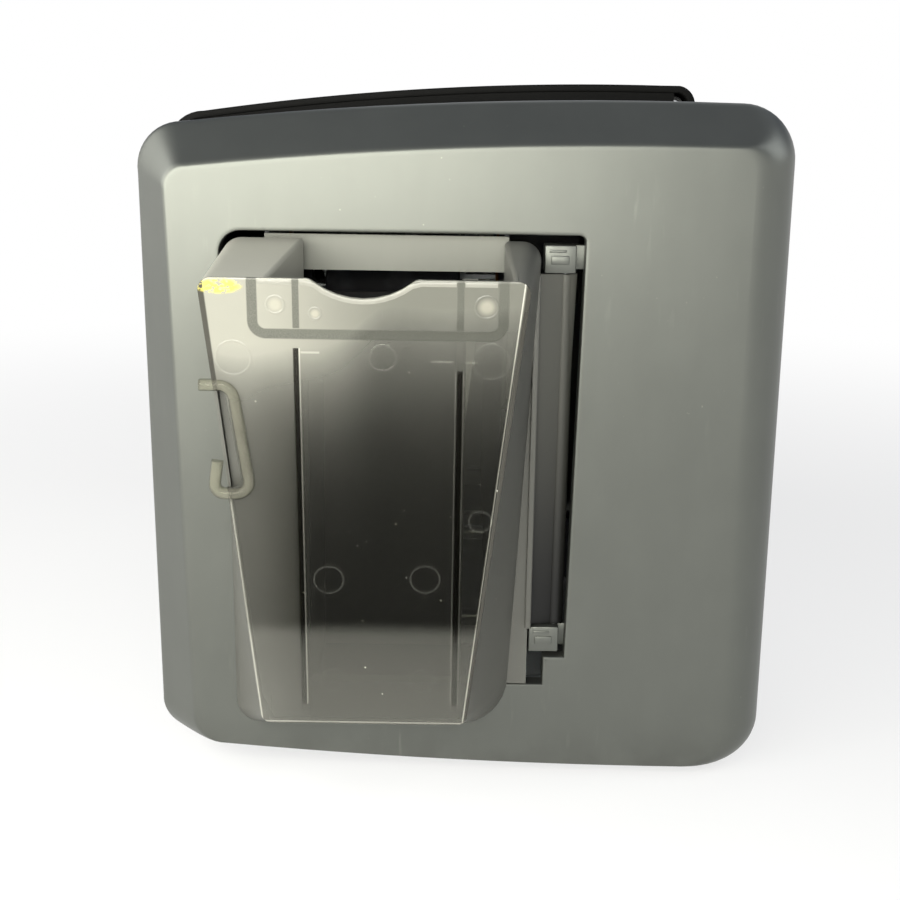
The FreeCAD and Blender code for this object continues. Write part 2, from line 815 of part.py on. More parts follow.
def pocket():
    """The hopper's opaque pocket with its cheeks, card wall, hinge strip and barrel."""
    shell = cut("pocket_shell", pocket_form("pocket_outer", at.pocket_wall * 0, at.pocket_wall * 0),
                pocket_form("pocket_hollow", at.pocket_wall, at.overrun / 2))
    mouth = prism("pocket_mouth", "z", (at.mouth_floor, at.pocket_top + at.overrun), [
        (pocket_base - at.overrun, at.mouth_left),
        (window_x, at.mouth_left - at.mouth_flare_left),
        (window_x, at.mouth_right + at.mouth_flare_right),
        (pocket_base - at.overrun, at.mouth_right),
    ][::-1])
    card_wall = prism("card_wall", "y", (rib_left - at.pocket_wall, rib_left), [
        (pocket_base, at.pocket_bottom + at.pocket_wall / 2),
        (lean_foot + at.window_bottom * lean_share - at.window_thickness * 2, at.card_wall_low),
        (lean_foot + at.path_height * lean_share - at.window_thickness * 2, at.path_height),
        (pocket_base, at.path_height),
    ])
    face_corners, face_bends = window_corners(at.pocket_wall / 2)
    face = leaning_plate("left_face_full", at.pocket_wall, face_corners, face_bends,
                         -at.window_thickness * 2)
    left_zone = box("left_zone", (pocket_base, window_x),
                    (at.window_top_left, rib_left - at.pocket_wall / 2),
                    (at.window_bottom, at.path_height))
    left_face = common("left_face", face, left_zone)
    strip_x = (hinge_x + at.strip_thickness - at.seam, hinge_x + at.strip_thickness * 2 - at.seam)
    barrel_span = (at.hinge_bottom + at.hinge_ear_length + at.moving_gap,
                   at.hinge_top - at.hinge_ear_length - at.moving_gap)
    strip = prism("hinge_strip", "x", strip_x, [
        (at.pocket_right - at.pocket_wall, barrel_span[0]),
        (at.strip_right_low, barrel_span[0]),
        (at.strip_right_high, barrel_span[1]),
        (at.pocket_right - at.pocket_wall, barrel_span[1]),
    ])
    root_rib = box("strip_root", (strip_x[0], pocket_base + at.pocket_wall),
                   (at.pocket_right - at.pocket_wall, at.pocket_right), barrel_span)
    barrel = rod("hinge_barrel", "z", at.hinge_barrel_radius, barrel_span, hinge_x, at.hinge_place)
    whole = fuse("pocket_whole", cut("pocket_open", shell, mouth), card_wall, left_face, strip,
                 root_rib, barrel)
    bore = rod("hinge_bore", "z", at.hinge_pin_radius + at.running_gap,
               (at.hinge_bottom, at.hinge_top), hinge_x, at.hinge_place)
    return cut("pocket_finished", whole, bore)


def window():
    """The smoked window with its finger notch, finger loop, guide ribs and rim."""
    corners, bends = window_corners(at.window_thickness * 0)
    plate = leaning_plate("window_plate", at.window_thickness, corners, bends, at.window_thickness * 0)
    middle_y = (at.notch_left + at.notch_right) / 2
    span = (at.notch_right - at.notch_left) / 2
    notch_radius = (span * span + at.notch_depth * at.notch_depth) / (at.notch_depth * 2)
    notch_middle = at.window_top - at.notch_depth + notch_radius
    notch = rod("notch", "x", notch_radius, (window_x - at.pocket_wall * 3, window_x + at.pocket_wall),
                middle_y, notch_middle)
    loop_left = at.window_top_left - at.loop_stand - at.seam
    rim_corners = [
        (loop_left, at.loop_bottom * lean_stretch),
        (at.loop_right, at.loop_bottom * lean_stretch),
        (at.loop_right, at.loop_top * lean_stretch),
        (loop_left, at.loop_top * lean_stretch),
    ]
    loop = leaning_plate("loop_pad", at.window_thickness + at.loop_stand, rim_corners, {},
                         at.loop_stand)
    slot_corners = [
        (loop_left + at.loop_rim * 2, at.loop_bottom * lean_stretch + at.loop_rim * 2),
        (at.loop_right - at.loop_rim, at.loop_bottom * lean_stretch + at.loop_rim * 2),
        (at.loop_right - at.loop_rim, at.loop_top * lean_stretch - at.loop_rim * 2),
        (loop_left + at.loop_rim * 2, at.loop_top * lean_stretch - at.loop_rim * 2),
    ]
    slot = leaning_plate("loop_slot", at.window_thickness * 3 + at.loop_stand, slot_corners, {},
                         at.loop_stand * 2)
    ribs = []
    for number, edge in enumerate((rib_left, rib_right)):
        rib_corners = rectangle(edge, edge + at.rib_width,
                                (at.window_bottom + at.pocket_wall * 2) * lean_stretch,
                                (at.path_height - at.rib_width) * lean_stretch)
        ribs.append(leaning_plate(f"guide_rib_{number}", at.rib_depth, rib_corners, {},
                                  -at.window_thickness * 0.5))
    return cut("window_finished", fuse("window_whole", plate, loop, *ribs), notch, slot)


output_pocket = keep("output_hopper_pocket", pocket())
keep("input_hopper_pocket", mirrored("input_pocket", output_pocket))
output_window = keep("output_hopper_window", window())
keep("input_hopper_window", mirrored("input_window", output_window))


# Lid, its hinge pins and the rear cover that carries them

lid_half = cover_inner - at.seam
lid_hinge_height = at.overall_height - at.lid_curl - at.lid_top_dip
lid_ears = ((at.lid_ear_place, at.lid_ear_place + at.lid_ear_thickness),
            (-at.lid_ear_place - at.lid_ear_thickness, -at.lid_ear_place))
lid_lugs = ((at.lid_ear_place - at.seam - at.lid_lug_length, at.lid_ear_place - at.seam),
            (at.seam - at.lid_ear_place, at.lid_lug_length + at.seam - at.lid_ear_place))


def lid():
    """The top lid: a crowned sheet with a front skirt, side flanges, rear curl and two lugs."""
    axis_y, axis_z = at.lid_hinge_place, lid_hinge_height
    front, wall, bend = at.lid_front, at.lid_wall, at.lid_front_bend
    high = at.lid_front_height
    section = prism("lid_section", "x", (-lid_half, lid_half), [
        (front, at.lid_skirt_height),
        (front + wall, at.lid_skirt_height),
        (front + wall, high - bend),
        (front + bend, high - wall),
        (axis_y, axis_z + at.lid_curl - wall),
        (axis_y + at.lid_curl - wall, axis_z),
        (axis_y + at.lid_curl, axis_z),
        (axis_y, axis_z + at.lid_curl),
        (front + bend, high),
        (front, high - bend),
    ], {2: wall - bend, 3: wall - at.lid_crown_radius, 4: wall - at.lid_curl, 6: at.lid_curl,
        7: at.lid_crown_radius, 8: bend})
    flanges = []
    for number, (low, high_x) in enumerate(((lid_half - wall, lid_half), (-lid_half, wall - lid_half))):
        rise = (axis_z + at.lid_curl - high) * ((at.lid_flange_rear - front - bend)
                                                / (axis_y - front - bend))
        edge = high + rise - wall / 2
        flanges.append(prism(f"lid_flange_{number}", "x", (low, high_x), [
            (front + bend, high - wall - at.lid_flange_drop),
            (at.lid_flange_rear, edge - at.lid_flange_drop),
            (at.lid_flange_rear, edge),
            (front + bend, high - wall / 2),
        ], {2: at.lid_crown_radius}))
    lugs = [rod(f"lid_lug_{number}", "x", at.lid_curl - wall + at.seam, span, axis_y, axis_z)
            for number, span in enumerate(lid_lugs)]
    bores = [rod(f"lid_bore_{number}", "x", at.lid_pin_radius + at.running_gap,
                 (span[0] - at.overrun, span[1] + at.overrun), axis_y, axis_z)
             for number, span in enumerate(lid_lugs)]
    return cut("lid_finished", fuse("lid_whole", section, *flanges, *lugs), *bores)


def rear_cover():
    """The fixed cover behind the lid: rear wall, top strip, inner shelf and the lid's two ears."""
    wall = at.cover_wall
    rear, front = half_depth - at.seam, at.rear_top_front
    bend = at.rear_top_bend
    span = (-lid_half, lid_half)
    skin = prism("rear_skin", "x", span, [
        (rear - wall, at.pan_height - wall),
        (rear, at.pan_height - wall),
        (rear, crown(rear) - bend),
        (rear - bend, crown(rear - bend)),
        (front, crown(front)),
        (front, crown(front) - wall),
        (rear - bend, crown(rear - bend) - wall),
        (rear - wall, crown(rear) - bend),
    ], {2: bend, 6: wall - bend})
    foot = box("rear_foot", span, (at.pan_rear - wall * 2, rear), (at.pan_height - wall, at.pan_height))
    shelf = box("rear_shelf", span, (at.rear_shelf_front, rear - wall / 2),
                (at.rear_shelf_height, at.rear_shelf_height + wall))
    window = box("rear_window", (-at.rear_bay_width / 2, at.rear_bay_width / 2),
                 (rear - wall * 2, rear + wall), (at.rear_bay_bottom, at.rear_bay_top))
    ears = []
    for number, span_x in enumerate(lid_ears):
        ears.append(box(f"lid_ear_web_{number}", span_x,
                        (at.lid_hinge_place - at.lid_ear_radius, at.lid_hinge_place),
                        (at.rear_shelf_height + wall / 2, lid_hinge_height)))
        ears.append(rod(f"lid_ear_round_{number}", "x", at.lid_ear_radius, span_x,
                        at.lid_hinge_place, lid_hinge_height))
    bores = [rod(f"lid_ear_bore_{number}", "x", at.lid_pin_radius, (low - at.overrun, high + at.overrun),
                 at.lid_hinge_place, lid_hinge_height) for number, (low, high) in enumerate(lid_ears)]
    return cut("rear_finished", fuse("rear_whole", skin, foot, shelf, *ears), window, *bores)


keep("top_lid", lid())
keep("rear_cover", rear_cover())
keep("lid_hinge_pins", group("lid_pins", *[
    rod(f"lid_pin_{number}", "x", at.lid_pin_radius, span, at.lid_hinge_place, lid_hinge_height)
    for number, span in enumerate(((lid_lugs[0][0], lid_ears[0][1]), (lid_ears[1][0], lid_lugs[1][1])))]))


# Front cover, display, keys and lid release

front_face = -half_depth + at.front_recess
front_back = front_face + at.cover_wall
key_places = [at.display_middle + at.key_pitch * step for step in (-1, 0, 1)]
release_span = (at.release_middle - at.release_width / 2, at.release_middle + at.release_width / 2)
display_span = (at.display_middle - at.display_width / 2, at.display_middle + at.display_width / 2)
display_rise = (at.display_height - at.display_tall / 2, at.display_height + at.display_tall / 2)
release_rise = (at.release_height - at.release_tall / 2, at.release_height + at.release_tall / 2)


def front_cover():
    """The front cover between the end covers, with its display, key and release openings."""
    wall = at.cover_wall
    top = at.lid_skirt_height - at.seam
    skin = prism("front_skin", "x", (-lid_half, lid_half), [
        (front_face, at.pan_height - wall),
        (at.pan_front + wall * 2, at.pan_height - wall),
        (at.pan_front + wall * 2, at.pan_height),
        (front_back, at.pan_height),
        (front_back, top - wall),
        (front_back + wall * 2, top - wall),
        (front_back + wall * 2, top),
        (front_face, top),
    ])
    depth = (front_face - at.overrun, front_back + at.overrun)
    border = at.display_depth / 3
    tools = [box("display_way", (display_span[0] + border, display_span[1] - border), depth,
                 (display_rise[0] + border, display_rise[1] - border)),
             box("release_way", (release_span[0] - at.moving_gap, release_span[1] + at.moving_gap),
                 depth, (release_rise[0] - at.moving_gap, release_rise[1] + at.moving_gap))]
    tools += [rod(f"key_way_{number}", "y", at.key_radius + at.moving_gap, depth, x, at.key_height)
              for number, x in enumerate(key_places)]
    return cut("front_finished", skin, *tools)


def key(name, x):
    """A round key with a retaining flange behind the front cover."""
    cap = rod(name + "_cap", "y", at.key_radius, (front_face - at.key_travel * 1.5,
              front_face + at.key_length), x, at.key_height)
    collar = rod(name + "_collar", "y", at.key_radius + at.key_travel,
                 (front_back + at.moving_gap, front_back + at.moving_gap + at.key_travel), x, at.key_height)
    return fuse(name, cap, collar)


keep("front_cover", front_cover())
display_border = at.display_depth / 3
lens_span = (display_span[0] + display_border, display_span[1] - display_border)
keep("display_window", box("display_lens", lens_span,
                           (front_face + at.seam, front_back),
                           (display_rise[0] + display_border, display_rise[1] - display_border)))
display_block = box("display_block", display_span, (front_back, front_back + at.display_depth), display_rise)
for name, x in zip(("feed_key", "pause_key", "cancel_key"), key_places):
    keep(name, key(name + "_solid", x))
key_board_front = front_back + at.display_depth
keep("display_board", fuse("display_board_solid", display_block,
                           box("key_board_sheet", display_span, (key_board_front, key_board_front + at.board_thickness),
                           (at.key_height - at.key_pitch / 2, display_rise[1])),
                       *[rod(f"key_board_post_{number}", "y", at.board_post_radius / 2,
                             (front_back, key_board_front), x, at.key_height - at.key_radius * 1.8)
                         for number, x in enumerate(key_places[::2])]))
keep("lid_release_button", fuse("release_solid",
                                box("release_cap", release_span,
                                    (front_face - at.key_travel, front_face + at.release_length), release_rise),
                                box("release_collar", (release_span[0] - at.key_travel,
                                                       release_span[1] + at.key_travel),
                                    (front_back + at.moving_gap, front_back + at.moving_gap + at.key_travel),
                                    (release_rise[0] - at.key_travel, release_rise[1] + at.key_travel))))


# Base pan and feet

pan_half = half_length - at.bevel_depth
pan_top = at.pan_height + at.pan_thickness
keep("base_pan", box("base_pan_solid", (-pan_half, pan_half), (at.pan_front, at.pan_rear),
                     (at.pan_height, pan_top)))
keep("rubber_feet", group("feet", *[
    rod(f"foot_{number}", "z", at.foot_radius, (at.pan_height * 0, at.pan_height), x, y)
    for number, (x, y) in enumerate(foot_places())]))


# Connector plate with inlet, switch, ports and fan

plate_back = half_depth - at.seam - at.cover_wall
plate_front = plate_back - at.plate_thickness
flush = plate_back + at.cover_wall / 2


def around(middle, width):
    """The low and high ends of a width about its middle."""
    return (middle - width / 2, middle + width / 2)


def socket(name, middle, height, width, tall, depth, rim, tongue):
    """A hollow connector block, open to the rear, with a tongue or pins inside."""
    block = box(name + "_block", around(middle, width), (flush - depth, flush), around(height, tall))
    hollow = box(name + "_hollow", around(middle, width - rim * 2), (flush - depth + rim * 2, flush + rim),
                 around(height, tall - rim * 2))
    tongues = [box(f"{name}_tongue_{number}", around(middle + share * width, tongue[0]),
                   (flush - depth + rim, flush - depth / 2),
                   around(height - share_up * tall, tongue[1]))
               for number, (share, share_up) in enumerate(tongue[2])]
    return fuse(name, cut(name + "_shell", block, hollow), *tongues)


def connector_plate():
    """The steel plate at the rear, with an opening for each connector and a fan grille."""
    wide = at.rear_bay_width + at.cover_wall * 4
    plate = box("connector_sheet", (-wide / 2, wide / 2), (plate_front, plate_back),
                (at.rear_bay_bottom - at.cover_wall * 2, at.rear_bay_top + at.cover_wall * 2))
    reach = (plate_front - at.overrun, plate_back + at.overrun)
    ways = [box("inlet_way", around(at.inlet_place, at.inlet_width), reach,
                around(at.inlet_height, at.inlet_tall)),
            box("switch_way", around(at.switch_place, at.switch_width), reach,
                around(at.inlet_height, at.switch_tall + at.cover_wall)),
            box("usb_way", around(at.usb_place, at.usb_width), reach, around(at.port_height, at.usb_tall)),
            box("network_way", around(at.network_place, at.network_width), reach,
                around(at.port_height, at.network_tall))]
    grille_disc = rod("grille_disc", "y", at.fan_size / 2 - at.cover_wall * 1.5, reach, at.fan_place,
                      at.fan_height)
    bars = [box(f"grille_bar_{step}", around(at.fan_place, at.fan_size), (reach[0] - at.overrun,
                reach[1] + at.overrun), around(at.fan_height + at.fan_size * step / 7, at.fan_size / 24))
            for step in range(-3, 4)]
    screws = [rod(f"screw_way_{number}", "y", at.screw_radius + at.seam, reach, x, z)
              for number, (x, z) in enumerate(screw_places())]
    return cut("connector_finished", plate, *ways, cut("grille_ways", grille_disc, *bars), *screws)


def screw_places():
    """Where the connector plate's screws sit, in its four corners."""
    inset = at.screw_head_radius * 2
    for side in (-1, 1):
        yield (at.rear_bay_width / 2 - inset) * side, at.rear_bay_bottom + inset
        yield (at.rear_bay_width / 2 - inset) * side, at.rear_bay_top - inset


keep("connector_plate", connector_plate())
keep("power_inlet", socket("inlet", at.inlet_place, at.inlet_height, at.inlet_width, at.inlet_tall,
                           at.inlet_depth, at.cover_wall / 2,
                           (at.cover_wall, at.cover_wall * 2, ((-0.25, 0.12), (0.0, -0.12), (0.25, 0.12)))))
keep("data_ports", group("ports",
                         socket("usb", at.usb_place, at.port_height, at.usb_width, at.usb_tall,
                                at.port_depth, at.cover_wall / 2,
                                (at.usb_width / 2, at.cover_wall, ((0.0, 0.2),))),
                         socket("network", at.network_place, at.port_height, at.network_width,
                                at.network_tall, at.port_depth, at.cover_wall / 2,
                                (at.network_width / 2, at.cover_wall, ((0.0, 0.25),)))))

rocker_half = at.switch_tall / 2 - at.cover_wall
rocker_axis_y = flush - at.switch_depth / 2


def switch_frame():
    """The power switch's frame: an open box with a bore each side for the rocker's stubs."""
    block = box("switch_block", around(at.switch_place, at.switch_width), (flush - at.switch_depth, flush),
                around(at.inlet_height, at.switch_tall + at.cover_wall))
    hollow = box("switch_hollow", around(at.switch_place, at.switch_width - at.cover_wall),
                 (flush - at.switch_depth + at.cover_wall / 2, flush + at.overrun),
                 around(at.inlet_height, at.switch_tall))
    bore = rod("switch_bore", "x", at.rocker_stub_radius + at.running_gap,
               around(at.switch_place, at.switch_width + at.overrun * 2), rocker_axis_y, at.inlet_height)
    return cut("switch_frame_finished", block, hollow, bore)


def rocker():
    """The switch's rocker: a shallow vee in front of its pivot stubs, its lower half standing out."""
    width = at.switch_width - at.cover_wall - at.moving_gap * 2
    paddle = prism("rocker_paddle", "x", around(at.switch_place, width), [
        (rocker_axis_y - at.cover_wall, at.inlet_height - rocker_half * 0.7),
        (flush, at.inlet_height - rocker_half),
        (flush - at.rocker_vee, at.inlet_height),
        (flush - at.rocker_vee * 2, at.inlet_height + rocker_half),
        (rocker_axis_y - at.cover_wall, at.inlet_height + rocker_half * 0.7),
    ])
    stub = rod("rocker_stub", "x", at.rocker_stub_radius, around(at.switch_place, at.switch_width),
               rocker_axis_y, at.inlet_height)
    return fuse("rocker_finished", paddle, stub)


keep("power_switch_frame", switch_frame())
keep("power_rocker", rocker())

fan_span = (plate_front - at.fan_depth, plate_front)
fan_way = at.fan_size / 2 - at.cover_wall
fan_back = fan_span[0] + at.cover_wall


def fan_frame():
    """The fan's square frame with its round duct and the three arms that hold its bearing."""
    block = box("fan_block", around(at.fan_place, at.fan_size), fan_span, around(at.fan_height, at.fan_size))
    duct = rod("fan_duct", "y", fan_way, (fan_span[0] - at.overrun, fan_span[1] + at.overrun),
               at.fan_place, at.fan_height)
    hub = rod("fan_bearing", "y", at.fan_hub_radius, (fan_span[0], fan_back), at.fan_place, at.fan_height)
    arms = []
    for number in range(3):
        arm = doc.addObject("Part::Box", f"fan_arm_{number}")
        bind(arm, "Length", fan_way + at.cover_wall / 2)
        bind(arm, "Width", fan_back - fan_span[0])
        bind(arm, "Height", at.cover_wall)
        arm.Placement = FreeCAD.Placement(V(), FreeCAD.Rotation(V(0, 1, 0), number * 120 + 30))
        arms.append(place(arm, at.fan_place, fan_span[0], at.fan_height))
    bore = rod("fan_bearing_bore", "y", at.fan_shaft_radius + at.running_gap,
               (fan_span[0] - at.overrun, fan_back + at.overrun), at.fan_place, at.fan_height)
    return cut("fan_frame_finished", fuse("fan_whole", cut("fan_ring", block, duct), hub, *arms), bore)


FAN_BLADE_COUNT = 7
FAN_BLADE_START = 13
FAN_BLADE_SLANT = 30
FAN_BLADE_ROOT_SHARE = 0.7
FAN_BLADE_DEPTH_SHARE = 0.8


def fan_rotor():
    """The fan's hub and its slanted blades, with the shaft that runs in the frame's bearing."""
    span = (fan_back + at.moving_gap, fan_span[1] - at.moving_gap * 2)
    hub = rod("rotor_hub", "y", at.fan_hub_radius - at.moving_gap, span, at.fan_place, at.fan_height)
    shaft = rod("rotor_shaft", "y", at.fan_shaft_radius, (fan_span[0], span[1]), at.fan_place, at.fan_height)
    root_radius = at.fan_hub_radius * FAN_BLADE_ROOT_SHARE
    blades = []
    for number in range(FAN_BLADE_COUNT):
        angle = FAN_BLADE_START + number * 360 / FAN_BLADE_COUNT
        blade = doc.addObject("Part::Box", f"rotor_blade_{number}")
        bind(blade, "Length", fan_way - at.moving_gap * 6 - root_radius)
        bind(blade, "Width", (span[1] - span[0]) * FAN_BLADE_DEPTH_SHARE)
        bind(blade, "Height", at.fan_blade_thickness)
        turn = FreeCAD.Rotation(V(0, 1, 0), angle)
        slant = FreeCAD.Rotation(V(1, 0, 0), FAN_BLADE_SLANT)
        blade.Placement = FreeCAD.Placement(V(), turn.multiply(slant))
        blades.append(place(blade, at.fan_place + root_radius * math.cos(math.radians(angle)),
                            span[0] + at.fan_blade_thickness,
                            at.fan_height - root_radius * math.sin(math.radians(angle))))
    return fuse("rotor_finished", hub, shaft, *blades)


keep("fan_frame", fan_frame())
keep("fan_rotor", fan_rotor())
keep("housing_screws", group("screws", *[
    fuse(f"screw_{number}",
         rod(f"screw_head_{number}", "y", at.screw_head_radius, (plate_back, plate_back + at.screw_head), x, z),
         rod(f"screw_shank_{number}", "y", at.screw_radius, (plate_back - at.screw_length, plate_back), x, z))
    for number, (x, z) in enumerate(screw_places())]))


# Frame plates, tie rods and bushes

plate_in_front = at.frame_front + at.plate_thickness
plate_in_rear = at.frame_rear
plate_out_rear = at.frame_rear + at.plate_thickness
roller_height = at.path_height - at.roller_radius
upper_height = at.path_height + at.card_gap + at.upper_roller_radius
pick_height = at.lift_height + at.lift_thickness + at.card_gap + at.pick_radius
pinion_radius = at.tooth_size * at.pinion_tooth_count / 2
platen_gear_radius = at.tooth_size * at.platen_tooth_count / 2
take_up_gear_radius = at.tooth_size * at.take_up_tooth_count / 2
feed_motor_height = roller_height - pinion_radius - platen_gear_radius
ribbon_motor_height = at.spool_height - pinion_radius - take_up_gear_radius
shaft_places = [
    (-at.roller_pitch, roller_height), (at.roller_pitch * 0, roller_height),
    (at.roller_pitch, roller_height), (-at.roller_pitch, upper_height), (at.roller_pitch, upper_height),
    (at.pick_place, pick_height), (-at.spool_pitch, at.spool_height), (at.spool_pitch, at.spool_height),
]
rod_places = [
    (at.pick_place, at.frame_top - at.rod_radius * 3), (-at.pick_place, at.frame_top - at.rod_radius * 3),
    (at.pick_place / 2, pan_top + at.rod_radius * 3), (-at.pick_place / 2, pan_top + at.rod_radius * 3),
]
bar_height = at.path_height + at.card_gap + at.film_thickness + at.guide_bar_radius + at.moving_gap


def frame_plate(name, front, shaft_ways=()):
    """One of the two upright steel plates between which the rollers and spools turn."""
    span = (front, front + at.plate_thickness)
    reach = (span[0] - at.overrun, span[1] + at.overrun)
    sheet_form = box(name + "_sheet", (-at.frame_half_length, at.frame_half_length), span,
                     (pan_top, at.frame_top))
    holes = [rod(f"{name}_bush_way_{number}", "y", at.bush_radius, reach, x, z)
             for number, (x, z) in enumerate(shaft_places)]
    holes += [rod(f"{name}_motor_way_{number}", "y", at.motor_shaft_radius * 2, reach, x, z)
              for number, (x, z) in enumerate(shaft_ways)]
    return cut(name + "_finished", sheet_form, *holes)


motor_places = [(at.roller_pitch * 0, feed_motor_height), (at.spool_pitch, ribbon_motor_height)]
keep("front_frame_plate", frame_plate("front_plate", at.frame_front))
keep("rear_frame_plate", frame_plate("rear_plate", at.frame_rear, motor_places))
keep("tie_rods", group("rods", *[
    rod(f"tie_rod_{number}", "y", at.rod_radius, (plate_in_front, plate_in_rear), x, z)
    for number, (x, z) in enumerate(rod_places)]))


def bush(name, x, z, outer, inner):
    """A flanged bush in a frame plate: its flange lies on the plate's inner face."""
    inward = at.bush_flange if number_of(inner - outer) > 0 else -at.bush_flange
    low, high = sorted((outer, inner + inward), key=number_of)
    flange = sorted((inner, inner + inward), key=number_of)
    return cut(name, fuse(name + "_body", rod(name + "_sleeve", "y", at.bush_radius, (low, high), x, z),
                          rod(name + "_flange", "y", at.bush_flange_radius, flange, x, z)),
               rod(name + "_bore", "y", at.shaft_radius + at.running_gap,
                   (low - at.overrun, high + at.overrun), x, z))


bushes = []
for number, (x, z) in enumerate(shaft_places):
    bushes.append(bush(f"front_bush_{number}", x, z, at.frame_front, plate_in_front))
    bushes.append(bush(f"rear_bush_{number}", x, z, plate_out_rear, plate_in_rear))
keep("roller_bushes", group("bushes", *bushes))


# Rollers, belts and gears

roll_span = (card_low - at.overrun, card_high + at.overrun)
shaft_span = (at.frame_front, plate_out_rear)
belt_starts = (plate_in_front + at.bush_flange + at.moving_gap,
               plate_in_front + at.bush_flange + at.moving_gap * 2 + at.belt_width)
gear_span = (plate_in_rear - at.bush_flange - at.moving_gap - at.gear_width,
             plate_in_rear - at.bush_flange - at.moving_gap)


def roller(name, place_index, radius, *belts):
    """A rubber roller on its shaft, with a plain pulley for each belt that runs on it."""
    x, z = shaft_places[place_index]
    pulleys = [rod(f"{name}_pulley_{belt}", "y", at.belt_radius - at.moving_gap,
                   (belt_starts[belt], belt_starts[belt] + at.belt_width), x, z) for belt in belts]
    return keep(name, fuse(name + "_solid", rod(name + "_shaft", "y", at.shaft_radius, shaft_span, x, z),
                           rod(name + "_rubber", "y", radius, roll_span, x, z), *pulleys))


roller("feed_roller", 0, at.roller_radius, 0)
roller("platen_roller", 1, at.roller_radius, 0, 1)
roller("exit_roller", 2, at.roller_radius, 1)
roller("cleaning_roller", 3, at.upper_roller_radius)
roller("pinch_roller", 4, at.upper_roller_radius)
roller("pick_roller", 5, at.pick_radius)


def belt(name, left, right, start):
    """A flat belt round two pulleys of one size."""
    span = (start + at.moving_gap / 2, start + at.belt_width - at.moving_gap / 2)
    reach = (span[0] - at.overrun, span[1] + at.overrun)
    loops = []
    for label, radius, depth in (("outer", at.belt_radius + at.belt_thickness, span),
                                 ("inner", at.belt_radius, reach)):
        loops.append(fuse(f"{name}_{label}",
                          box(f"{name}_{label}_run", (left, right), depth, around(roller_height, radius * 2)),
                          rod(f"{name}_{label}_left", "y", radius, depth, left, roller_height),
                          rod(f"{name}_{label}_right", "y", radius, depth, right, roller_height)))
    return cut(name + "_loop", *loops)


keep("feed_belts", group("belts", belt("feed_belt", -at.roller_pitch, at.roller_pitch * 0, belt_starts[0]),
                         belt("exit_belt", at.roller_pitch * 0, at.roller_pitch, belt_starts[1])))


def gear(name, teeth, bore, x, z, half_step):
    """A spur gear about a line along Y: a root disc and straight-flanked teeth in a ring."""
    body = doc.addObject("PartDesign::Body", name)
    pitch = at.tooth_size * teeth / 2
    base, tip = pitch - at.tooth_size * 1.25, pitch + at.tooth_size
    flank = math.tan(math.radians(20))
    half_tooth = at.tooth_size * (math.pi / 4) - at.backlash / 2
    half_base, half_tip = half_tooth + at.tooth_size * (1.25 * flank), half_tooth - at.tooth_size * flank
    disc = round_sketch(body, name + "_disc_outline", "y", gear_span[0], base)
    bore_circle = round_sketch(body, name + "_bore_outline", "y", gear_span[0], bore)
    tooth = sketch(body, name + "_tooth_outline", "y", gear_span[0], [
        (-half_base, base - at.tooth_size / 2), (half_base, base - at.tooth_size / 2),
        (half_base, base), (half_tip, tip), (-half_tip, tip), (-half_base, base)])
    features = []
    for label, outline in (("disc", disc), ("tooth", tooth)):
        pad = body.newObject("PartDesign::Pad", f"{name}_{label}")
        pad.Profile = outline
        pad.Reversed = True
        bind(pad, "Length", gear_span[1] - gear_span[0])
        features.append(pad)
    doc.recompute()
    ring = body.newObject("PartDesign::PolarPattern", name + "_teeth")
    ring.Originals = [features[1]]
    axis = [item for item in body.Origin.OriginFeatures if item.Role == "Y_Axis"][0]
    ring.Axis = (axis, [""])
    ring.Angle = 360
    ring.setExpression("Occurrences", teeth.formula)
    body.Tip = ring
    doc.recompute()
    hole = body.newObject("PartDesign::Pocket", name + "_bore")
    hole.Profile = bore_circle
    hole.Type = "ThroughAll"
    hole.Midplane = True
    body.Tip = hole
    body.Placement = FreeCAD.Placement(V(), FreeCAD.Rotation(V(0, 1, 0), 180 / teeth.number * half_step))
    return place(body, x, at.overrun * 0, z)


keep("platen_gear", gear("platen_gear_body", at.platen_tooth_count, at.shaft_radius,
                         *shaft_places[1], 0))
keep("take_up_gear", gear("take_up_gear_body", at.take_up_tooth_count, at.shaft_radius,
                          *shaft_places[7], 0))


# Motors with their pinions

motor_span = (plate_out_rear, plate_out_rear + at.motor_length)


def motor(name, x, z):
    """A square stepper motor on the rear plate and the pinion on its shaft."""
    case = box(name + "_case", around(x, at.motor_size), motor_span, around(z, at.motor_size))
    boss = rod(name + "_boss", "y", at.motor_shaft_radius * 1.8, (plate_in_rear, plate_out_rear), x, z)
    bore = rod(name + "_bore", "y", at.motor_shaft_radius + at.running_gap,
               (plate_in_rear - at.overrun, motor_span[0] + at.motor_length / 2), x, z)
    wheel = gear(name + "_pinion_body", at.pinion_tooth_count, at.motor_shaft_radius - at.running_gap,
                 x, z, 1)
    shaft = rod(name + "_shaft", "y", at.motor_shaft_radius,
                (gear_span[0], motor_span[0] + at.motor_length / 2 - at.seam), x, z)
    keep(name + "_pinion", fuse(name + "_pinion_finished", wheel, shaft))
    return cut(name + "_finished", fuse(name + "_whole", case, boss), bore)


keep("stepper_motors", group("motors", motor("feed_motor", *motor_places[0]),
                             motor("ribbon_motor", *motor_places[1])))
pick_x, pick_z = shaft_places[5]
keep("pick_motor", rod("pick_motor_case", "y", at.pick_motor_radius,
                       (plate_out_rear + at.seam, plate_out_rear + at.seam + at.pick_motor_length),
                       pick_x, pick_z))


# Ribbon: spools, rolls, film and guide bars

